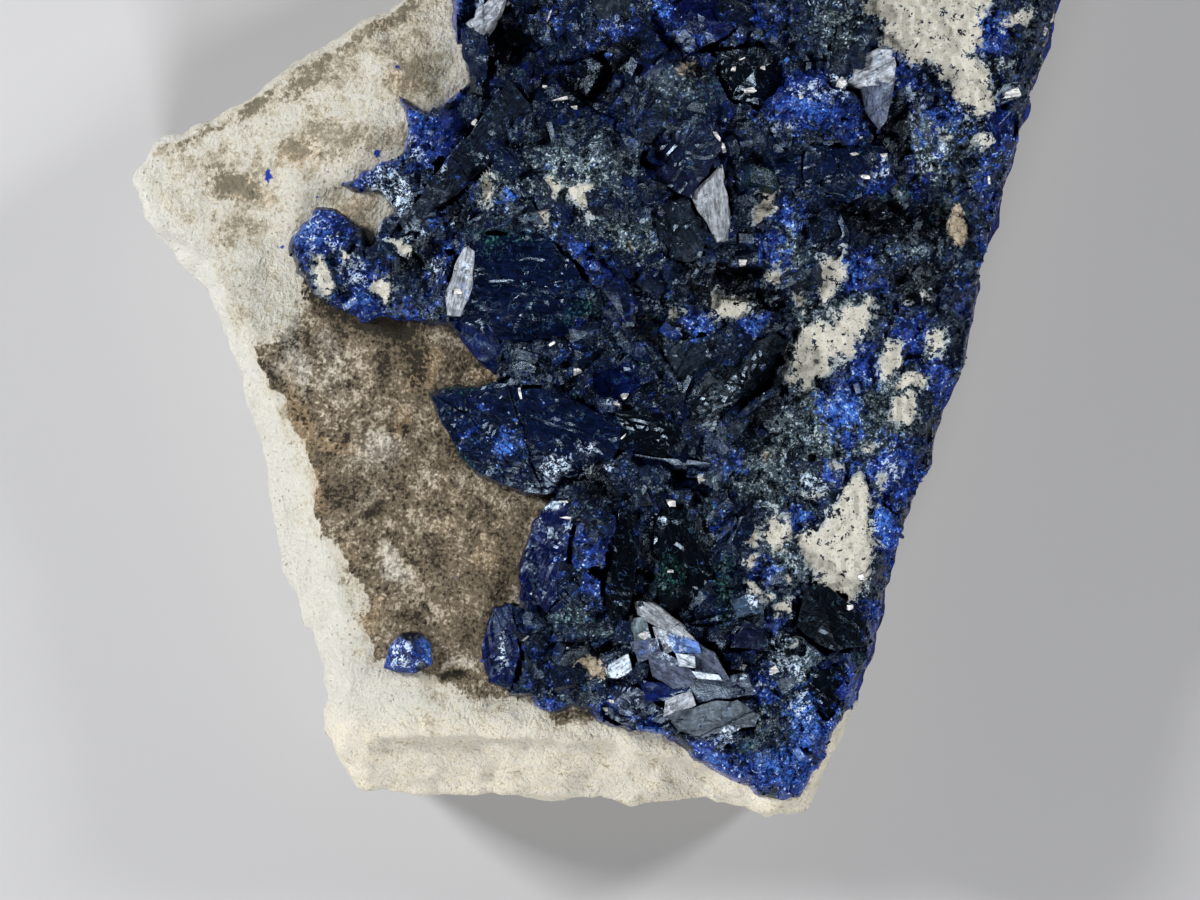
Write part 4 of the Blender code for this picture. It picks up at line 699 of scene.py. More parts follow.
    # Painted glints: scattered white points on the granular crust.
    sparkle = grit_c.over(0.955) * (patch + 0.02).over(0.0) * lines * ash.most(blue).most(painted_glitter)
    body = f.mix(body, f.mix(ICE, GLINT_WHITE, grit_a), sparkle * 0.85)
    hair = 1.0 - ((f.noise(1.2, 2.0) - 0.5).math("ABSOLUTE") * 50.0).least(1.0)
    body = f.mix(body, hue, hair * tint.from_to(0.0, 0.1) * (1.0 - shadow_and_dark) * 0.8)
    crack = 1.0 - f.cells(1.5, "Distance", "DISTANCE_TO_EDGE", wobble).from_to(0.006, 0.022)
    crack = crack * patch.from_to(-0.06, 0.06) * (1.0 - shadow_and_dark)
    body = f.mix(body, BLACK, crack * 0.85)
    stripes = (f.attribute("across") * 19.0 + patch * 8.0 + fine * 2.0).math("SINE")
    body = f.mix(body, BLACK, stripes.from_to(0.3, 1.0) * lined * wide.from_to(0.35, 0.6) * 0.4)

    ragged = fine * 1.5 + patch * 2.5
    near = f.attribute("chalk").from_to(0.0, 0.22)
    chalk = (f.attribute("chalk") + (ragged + tint * 1.6) * near * 1.25).from_to(0.50, 0.60)
    tan = (f.attribute("tan") + ragged * 0.7 * f.attribute("tan").from_to(0.0, 0.2)).from_to(0.42, 0.60)
    sand = f.noise(0.45, 4.0, 0.75)
    speckled = f.mix(CHALK, FRESH_ROCK, 0.35 + fine * 1.6)
    speckled = f.mix(f.mix(SAND, CHALK, 0.55), speckled, sand.from_to(0.38, 0.58))
    speckled = f.mix(BONE, speckled, f.attribute("chalk").from_to(0.38, 0.80))
    specks = (grit_a * 0.4 + patch * 0.6 + 0.3).from_to(0.64, 0.76)
    speckled = f.mix(speckled, f.mix(SOIL, LEAD, grit_b), specks * 0.6)
    body = f.mix(body, speckled, chalk)
    body = f.mix(body, f.mix(BROWN, f.mix(OCHRE, SAND, 0.7 + fine * 2.0), sand.from_to(0.36, 0.60)), tan)
    bare = chalk.most(tan)

    polish = 1.0 - glass * 0.7
    normal = f.tilted(f.mix(f.cells(0.55), mosaic, glass), (0.42 - glass * 0.34) * (1.0 - calm * 0.5))
    normal = f.bump(patch * polish, 0.14, normal)
    normal = f.bump(streaks, 0.012, normal)
    normal = f.bump(fine * polish, 0.05, normal)
    plain = f.bump(sand, 0.30)
    normal = f.node("Mix", {"data_type": "VECTOR"}, {0: bare, 4: normal, 5: plain}, out=1)
    rough = 0.13 + dull * 0.40 + grit_b * 0.18 * (1.0 - glass) + streaks.from_to(0.4, 0.7) * 0.25
    rough = rough * (1.0 - calm * 0.3)
    return f.set(Base_Color=body, Roughness=rough + bare * (0.92 - rough), Normal=normal, IOR=1.6,
                 Specular_IOR_Level=0.25, Specular_Tint=(0.62, 0.80, 1.0, 1.0))


# ------------------------------------------------------------------------------------- meshes


def coordinates(mesh):
    flat = np.zeros(len(mesh.vertices) * 3)
    mesh.vertices.foreach_get("co", flat)
    return flat.reshape(-1, 3)


def set_coordinates(mesh, points):
    mesh.vertices.foreach_set("co", np.asarray(points, float).ravel())
    mesh.update()


def paint(mesh, name, values):
    """Stores one number, or one colour, for every vertex."""
    values = np.asarray(values, float)
    if values.ndim == 1:
        mesh.attributes.new(name, "FLOAT", "POINT").data.foreach_set("value", values)
    else:
        colours = np.concatenate([values, np.ones((len(values), 1))], 1)
        mesh.attributes.new(name, "FLOAT_COLOR", "POINT").data.foreach_set("color", colours.ravel())


def normals_of(mesh):
    flat = np.zeros(len(mesh.vertices) * 3)
    mesh.vertices.foreach_get("normal", flat)
    return flat.reshape(-1, 3)


def in_scene(name, data):
    """A new object of the scene."""
    made = bpy.data.objects.new(name, data)
    bpy.context.scene.collection.objects.link(made)
    return made


def place_piece(name, mesh, material, replaced=(), smooth=True):
    """Puts a finished mesh in the scene, on the specimen's one body."""
    piece = in_scene(name, mesh)
    mesh.materials.clear()
    mesh.materials.append(material)
    mesh.polygons.foreach_set("use_smooth", [smooth] * len(mesh.polygons))
    mesh.polygons.foreach_set("material_index", [0] * len(mesh.polygons))
    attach(piece, "root")
    if replaced:
        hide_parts(*replaced)
    return piece


def shape_of(mesh):
    shape = bmesh.new()
    shape.from_mesh(mesh)
    return shape


def merged_copy(node):
    """A welded bmesh of a CAD node's mesh."""
    shape = shape_of(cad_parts[node].data)
    bmesh.ops.remove_doubles(shape, verts=shape.verts, dist=0.001 * MM)
    return shape


def mesh_of(shape, name):
    """A new mesh of a bmesh, which is freed."""
    mesh = bpy.data.meshes.new(name)
    shape.to_mesh(mesh)
    shape.free()
    return mesh


def tree_of(shape):
    """A tree for ray casts of a bmesh, which is freed."""
    tree = BVHTree.FromBMesh(shape)
    shape.free()
    return tree


def cut(shape, place, normal, remove=False):
    """Cuts a bmesh by a plane, and may take off what is in front of the plane."""
    bmesh.ops.bisect_plane(shape, geom=shape.verts[:] + shape.edges[:] + shape.faces[:],
                           plane_co=place, plane_no=normal, clear_outer=remove)
    if remove:
        bmesh.ops.holes_fill(shape, edges=rim_of(shape))


def rim_of(shape):
    return [edge for edge in shape.edges if edge.is_boundary]


def new_corners(made):
    """The vertices among what a bmesh operator made."""
    return [item for item in made if isinstance(item, bmesh.types.BMVert)]


def tops(tree, places, missing=np.nan):
    """The height of a solid's top at each place, and missing where it has none."""
    above, down = RAY_START * MM, Vector((0.0, 0.0, -1.0))
    found = np.full(len(places), float(missing))
    starts = plan_all(places[:, 0], places[:, 1], np.zeros(len(places)))
    for i, (x, y, _) in enumerate(starts.tolist()):
        hit = tree.ray_cast(Vector((x, y, above)), down)[0]
        if hit is not None:
            found[i] = hit.z / MM
    return found


def blurred(field, cells):
    """A height map smoothed over a number of cells."""
    reach = int(3 * cells)
    weights = np.exp(-0.5 * (np.arange(-reach, reach + 1) / cells) ** 2)
    weights /= weights.sum()
    for axis in (0, 1):
        pad = [(reach, reach) if k == axis else (0, 0) for k in (0, 1)]
        padded = np.pad(field, pad, mode="edge")
        total = np.zeros_like(field)
        for k, weight in enumerate(weights):
            total += weight * np.take(padded, np.arange(k, k + field.shape[axis]), axis)
        field = total
    return field


# --------------------------------------------------------------------------------- the rock

ROCK_VOXEL = 0.50


def masks_of_rock(mesh):
    """Paints the rock's stains, and the painted shade along its upper-left edge, as far as its face and not
    its fresh broken sides.
    """
    points = coordinates(mesh)
    upward = normals_of(mesh)[:, 2]
    places = sheet_of(points)
    ragged = wandering(wandering(places, 1.1, 4.0, 7), 0.6, 1.4, 5)
    face = step(upward, 0.55, 0.85) * step(points[:, 2] / MM, FACE - 4.0, FACE - 2.0)
    blurring = 0.5 + 2.2 * step(-places[:, 1], -41.0, -34.0) + 1.2 * step(places[:, 1], 66.0, 69.0)
    paint(mesh, "stain", step(inside_by(ragged, STAIN_FIELD) / blurring, -1.0, 1.0) * face)
    for name, blots, seed in (("dark", DARK_STAINS_AND_EDGE_SHADE, 11), ("ochre", OCHRE_STAINS, 13),
                              ("grey", GREY_STREAKS, 15), ("pale", PALE_STREAKS, 17),
                              ("mottled", MOTTLED, 19)):
        paint(mesh, name, spots(wandering(places, 0.8, 2.4, seed), blots) * face)
    paint(mesh, "fleck", spots(places, BLUE_FLECKS) * face)
    paint(mesh, "clean", step(inside_by(ragged, CLEAN_BAND), -1.0, 1.0))
    paint(mesh, "layered", step(places[:, 1] - 0.03 * (places[:, 0] - 36.0), 69.5, 73.5))
    height = points[:, 2] / MM + 1.6 * ripple(points / MM, 5.0, 19)
    right_side = step(places[:, 0] + 0.31 * places[:, 1], 104.6, 106.0)
    right_side *= 1.0 - step(places[:, 1], 68.0, 72.0)
    paint(mesh, "rim", right_side * (1.0 - face) * step(height, 13.0, 15.5))
    left_side = step(-(places[:, 0] - 13.0 - 0.23 * (places[:, 1] - 18.0)), -8.0, -4.0)
    paint(mesh, "fresh", (1.0 - face) * left_side)


def make_rock():
    """The rock: the frame's solid, remade in fine cells and roughened."""
    helper = in_scene("rock_remade", mesh_of(merged_copy("matrix"), "rock"))
    remesh = helper.modifiers.new("cells", "REMESH")
    remesh.mode = "VOXEL"
    remesh.voxel_size = ROCK_VOXEL * MM
    graph = bpy.context.evaluated_depsgraph_get()
    mesh = bpy.data.meshes.new_from_object(helper.evaluated_get(graph))
    bpy.data.objects.remove(helper)
    mesh.name = "rock"
    normals = normals_of(mesh)
    at = coordinates(mesh) / MM
    face = step(normals[:, 2], 0.6, 0.9) * step(at[:, 2], FACE - 4.0, FACE - 2.0)
    side = 1.0 - step(np.abs(normals[:, 2]), 0.5, 0.95)
    ledges = 1.0 - np.abs(ripple(at * (1.0, 1.0, 2.2), 7.0, 3)) * 2.0
    lift = 0.24 * ripple(at, 3.0, 1) + 0.20 * ripple(at, 1.5, 2) + 0.13 * ripple(at, 0.9, 4)
    lift += side * (0.45 * ledges + 0.35 * ripple(at, 2.2, 6))
    lift -= face * 0.10
    at = at + normals * lift[:, None]
    at[:, 2] = np.maximum(at[:, 2], 0.0)
    set_coordinates(mesh, at * MM)
    masks_of_rock(mesh)
    return place_piece("rock", mesh, rock_finish(), ("matrix",))


# -------------------------------------------------------------------------------- the crust

CELL = 0.25                                  # the crust's cells
CRUST_LEFT, CRUST_RIGHT, CRUST_TOP, CRUST_BOTTOM = 27.5, 108.5, -15.5, 82.5
SKIRT = 0.9                                  # how far past the edge the crust is carried, buried
SUNK = 0.55                                  # how far the fine crust lies below the solid's top
CHALK_RISE = 0.32                            # how far chalk lies above the solid's mean level
BEDDING = 0.25                               # how far the crust lies below a crystal that shows
THINNEST = 0.15                              # the least the crust is raised above the rock
CRUST_FLOOR = SHOULDER - 0.7                 # the level of its flat buried floor
BLOCKS = 4400                                # blocky crystals tried on the crust
COLUMNS = round((CRUST_RIGHT - CRUST_LEFT) / CELL) + 1
ROWS = round((CRUST_BOTTOM - CRUST_TOP) / CELL) + 1

# What is where: each zone's blots, then how far, in what waves and by what seed its edge wanders.
ZONES = {
    "tan": (TAN_SPOTS, 0.35, 1.1, 51), "blue": (BLUE_SPOTS, 0.8, 1.6, 31),
    "azure": (AZURE_SPOTS, 0.5, 1.2, 33), "ash": (ASH_SPOTS, 0.8, 2.0, 35),
    "green": (GREEN_SPOTS, 0.6, 1.6, 37), "painted_glitter": (GLITTER_SPOTS, 0.4, 1.0, 39),
    "calm": (CALM_SPOTS, 0.7, 2.0, 55), "shadow_and_dark": (HOLLOW_SHADOWS, 0.5, 1.6, 53),
}


def central(x, y):
    """1 where the crystals are broad and dark, in the middle, and 0 where they are a fine crust."""
    return step(x, 43.0, 48.0) * (1.0 - step(x + 0.25 * y, 84.0, 92.0)) * (1.0 - step(y, 66.0, 72.0))


class Crust:
    """The height map of the azurite between its large crystals, and what is where on it."""

    def __init__(self, rock, large):
        x, y = np.meshgrid(CRUST_LEFT + CELL * np.arange(COLUMNS), CRUST_TOP + CELL * np.arange(ROWS))
        self.x, self.y = x, y
        places = np.stack([x.ravel(), y.ravel()], -1)
        grid = (ROWS, COLUMNS)
        ragged = wandering(wandering(places, 0.5, 1.9, 21), 0.22, 0.7, 23)
        self.edge = inside_by(ragged, AZURITE_EDGE).reshape(grid)
        self.rock = tops(rock, places, FACE - 12.0).reshape(grid)
        self.inside = np.minimum(self.edge, (self.rock - (SHOULDER + 0.5)) * 0.6)
        cad = tops(tree_of(merged_copy("azurite")), places).reshape(grid)
        self.large = tops(large, places, -1.0).reshape(grid)
        filled = np.where(np.isnan(cad), self.rock + 1.0, cad)
        self.base = blurred(filled, 3.0)
        self.masks = {"chalk": self.chalk(places).reshape(grid)}
        for name, (blots, *wander) in ZONES.items():
            self.masks[name] = spots(wandering(places, *wander), blots).reshape(grid)
        bare = step(np.maximum(self.masks["chalk"], self.masks["tan"]), 0.35, 0.6)
        self.height = self.base - SUNK - 0.35 * bare
        self.crowd()
        self.fill_windows(places, bare)
        self.meet_large(places)
        self.thin_out()
        self.within = blurred((self.inside > 0.0).astype(float), 3.5)

    def fill_windows(self, places, bare):
        """Lays lumpy chalk in the windows, and roughens all of the crust a little."""
        lumps = (0.10 * ripple(places, 0.6, 41) + 0.12 * ripple(places, 1.2, 43)).reshape(bare.shape)
        chalk_top = blurred(self.base, 3.0) + CHALK_RISE + 2.0 * lumps
        self.height = self.height + (chalk_top - self.height) * bare
        self.height += 0.5 * lumps

    def meet_large(self, places):
        """Lets the large crystals show where they lie open, and climbs over the rest of them."""
        bared = blurred((self.large > self.base - 1.0).astype(float), 2.2)
        open_here = spots(wandering(places, 0.4, 1.2, 57), OPEN_SPOTS)
        uneven = 0.30 * ripple(places, 1.1, 47) + 0.22 * ripple(places, 3.0, 49)
        self.shown = bared > (0.66 - 0.42 * open_here + uneven).reshape(bared.shape)
        climbing = np.maximum(self.height, np.minimum(self.large + 0.10, self.height + 1.2))
        self.height = np.where(self.shown, np.minimum(self.height, self.large - BEDDING), climbing)
        self.height = np.maximum(self.height, self.rock + THINNEST)

    def thin_out(self):
        """Lowers the crust into the rock at its edge, and keeps what doesn't stick out of a side."""
        foot = np.maximum(self.rock - 0.9, SHOULDER - 0.5)
        self.height = foot + (self.height - foot) * step(self.inside, -0.15, 0.55)
        low = self.rock
        for axis in (0, 1):
            for way in (-1, 1):
                low = np.minimum(low, np.roll(low, 2 * way, axis))
        self.kept = (self.inside > -SKIRT) & ((self.edge > -0.1) | (low > SHOULDER + 0.5))

    def chalk(self, places):
        ragged = wandering(wandering(places, 0.55, 1.3, 25), 0.25, 0.5, 27)
        fields = [step(inside_by(ragged, field), -1.65, 0.65) for field in CHALK_FIELDS]
        return np.maximum.reduce([*fields, spots(ragged, CHALK_SPOTS)])

    def at(self, field, x, y):
        """A field's value at places on the sheet."""
        column = np.clip(np.rint((x - CRUST_LEFT) / CELL).astype(int), 0, COLUMNS - 1)
        row = np.clip(np.rint((y - CRUST_TOP) / CELL).astype(int), 0, ROWS - 1)
        return field[row, column]

    def crowd(self):
        """Crowded blocky crystals, each a flat leaning roof on steep flanks."""
        xs = rng.uniform(CRUST_LEFT, CRUST_RIGHT, BLOCKS)
        ys = rng.uniform(CRUST_TOP, CRUST_BOTTOM, BLOCKS)
        swirl = ripple(np.stack([xs, ys], -1), 9.0, 45) * math.pi
        for x, y, trend in zip(xs, ys, swirl):
            if self.at(self.inside, x, y) < 0.2:
                continue
            size = rng.choice([0.6, 0.9, 1.3, 2.0], p=[0.35, 0.35, 0.2, 0.1]) * rng.uniform(0.8, 1.2)
            broad = float(central(x, y))
            size *= 1.0 + 0.9 * broad
            width = size * rng.uniform(0.4, 0.8)
            angle = trend + rng.normal(0.0, 0.5)
            lean = rng.normal(0.0, 0.33 - 0.10 * broad, 2)
            rise = rng.uniform(0.1, 0.75) * size ** (0.6 - 0.2 * broad)
            self.raise_block(x, y, size, width, angle, rise, lean)

    def raise_block(self, x, y, length, width, angle, rise, lean):
        reach = int(math.hypot(length, width) / CELL) + 1
        column, row = round((x - CRUST_LEFT) / CELL), round((y - CRUST_TOP) / CELL)
        rows = slice(max(row - reach, 0), row + reach + 1)
        columns = slice(max(column - reach, 0), column + reach + 1)
        dx, dy = self.x[rows, columns] - x, self.y[rows, columns] - y
        along = dx * math.cos(angle) + dy * math.sin(angle)
        across = dy * math.cos(angle) - dx * math.sin(angle)
        flank = np.minimum((length - np.abs(along)) * 2.2, (width - np.abs(across)) * 3.0)
        roof = rise + lean[0] * along + lean[1] * across
        top = self.at(self.base, x, y) - SUNK + np.minimum(roof, rise * 0.2 + flank)
        patch = self.height[rows, columns]
        self.height[rows, columns] = np.where(flank > 0.0, np.maximum(patch, top), patch)


def paint_zones(mesh, crust, glass=0.0, bare=True):
    """Paints the zones of the azurite on a mesh, and how far it is clear glass."""
    places = sheet_of(coordinates(mesh))
    for name, mask in crust.masks.items():
        if bare or name not in ("chalk", "tan", "shadow_and_dark"):
            paint(mesh, name, crust.at(mask, places[:, 0], places[:, 1]))
    paint(mesh, "glass", np.full(len(places), glass))


def make_crust(crust, material):
    """The crust as a closed body: a sheet at the map's heights, and a flat buried floor."""
    shape = bmesh.new()
    bmesh.ops.create_grid(shape, x_segments=COLUMNS - 1, y_segments=ROWS - 1, size=0.5)
    middle = ((CRUST_LEFT + CRUST_RIGHT) / 2, (CRUST_TOP + CRUST_BOTTOM) / 2)
    spread = Vector(((CRUST_RIGHT - CRUST_LEFT) * MM, (CRUST_BOTTOM - CRUST_TOP) * MM, 1.0))
    bmesh.ops.scale(shape, vec=spread, verts=shape.verts)
    bmesh.ops.translate(shape, vec=plan(*middle), verts=shape.verts)
    points = np.array([vertex.co for vertex in shape.verts])
    places = sheet_of(points)
    kept = crust.at(crust.kept, places[:, 0], places[:, 1])
    heights = crust.at(crust.height, places[:, 0], places[:, 1])
    for vertex, height in zip(shape.verts, heights.tolist()):
        vertex.co.z = height * MM
    outside = [vertex for vertex, keep in zip(shape.verts, kept.tolist()) if not keep]
    bmesh.ops.delete(shape, geom=outside, context="VERTS")
    loose = [vertex for vertex in shape.verts if not vertex.link_faces]
    bmesh.ops.delete(shape, geom=loose, context="VERTS")
    bmesh.ops.recalc_face_normals(shape, faces=shape.faces)
    if next(iter(shape.faces)).normal.z < 0.0:
        bmesh.ops.reverse_faces(shape, faces=shape.faces)
    grown = bmesh.ops.extrude_edge_only(shape, edges=rim_of(shape))
    for vertex in new_corners(grown["geom"]):
        vertex.co.z = CRUST_FLOOR * MM
    bmesh.ops.holes_fill(shape, edges=rim_of(shape))
    bmesh.ops.triangulate(shape, faces=[face for face in shape.faces if len(face.verts) > 4])
    bmesh.ops.recalc_face_normals(shape, faces=shape.faces)
    mesh = mesh_of(shape, "azurite_crust")
    paint_zones(mesh, crust)
    return place_piece("azurite_crust", mesh, material, ("azurite",), smooth=False)


# ---------------------------------------------------------------------- the large crystals

ROOT = 2.2                                   # how far below the face a large crystal reaches
BURIED = 0.3                                 # how far below the face nothing of it shows
COARSE = 2.0                                 # how long its edges may be down there

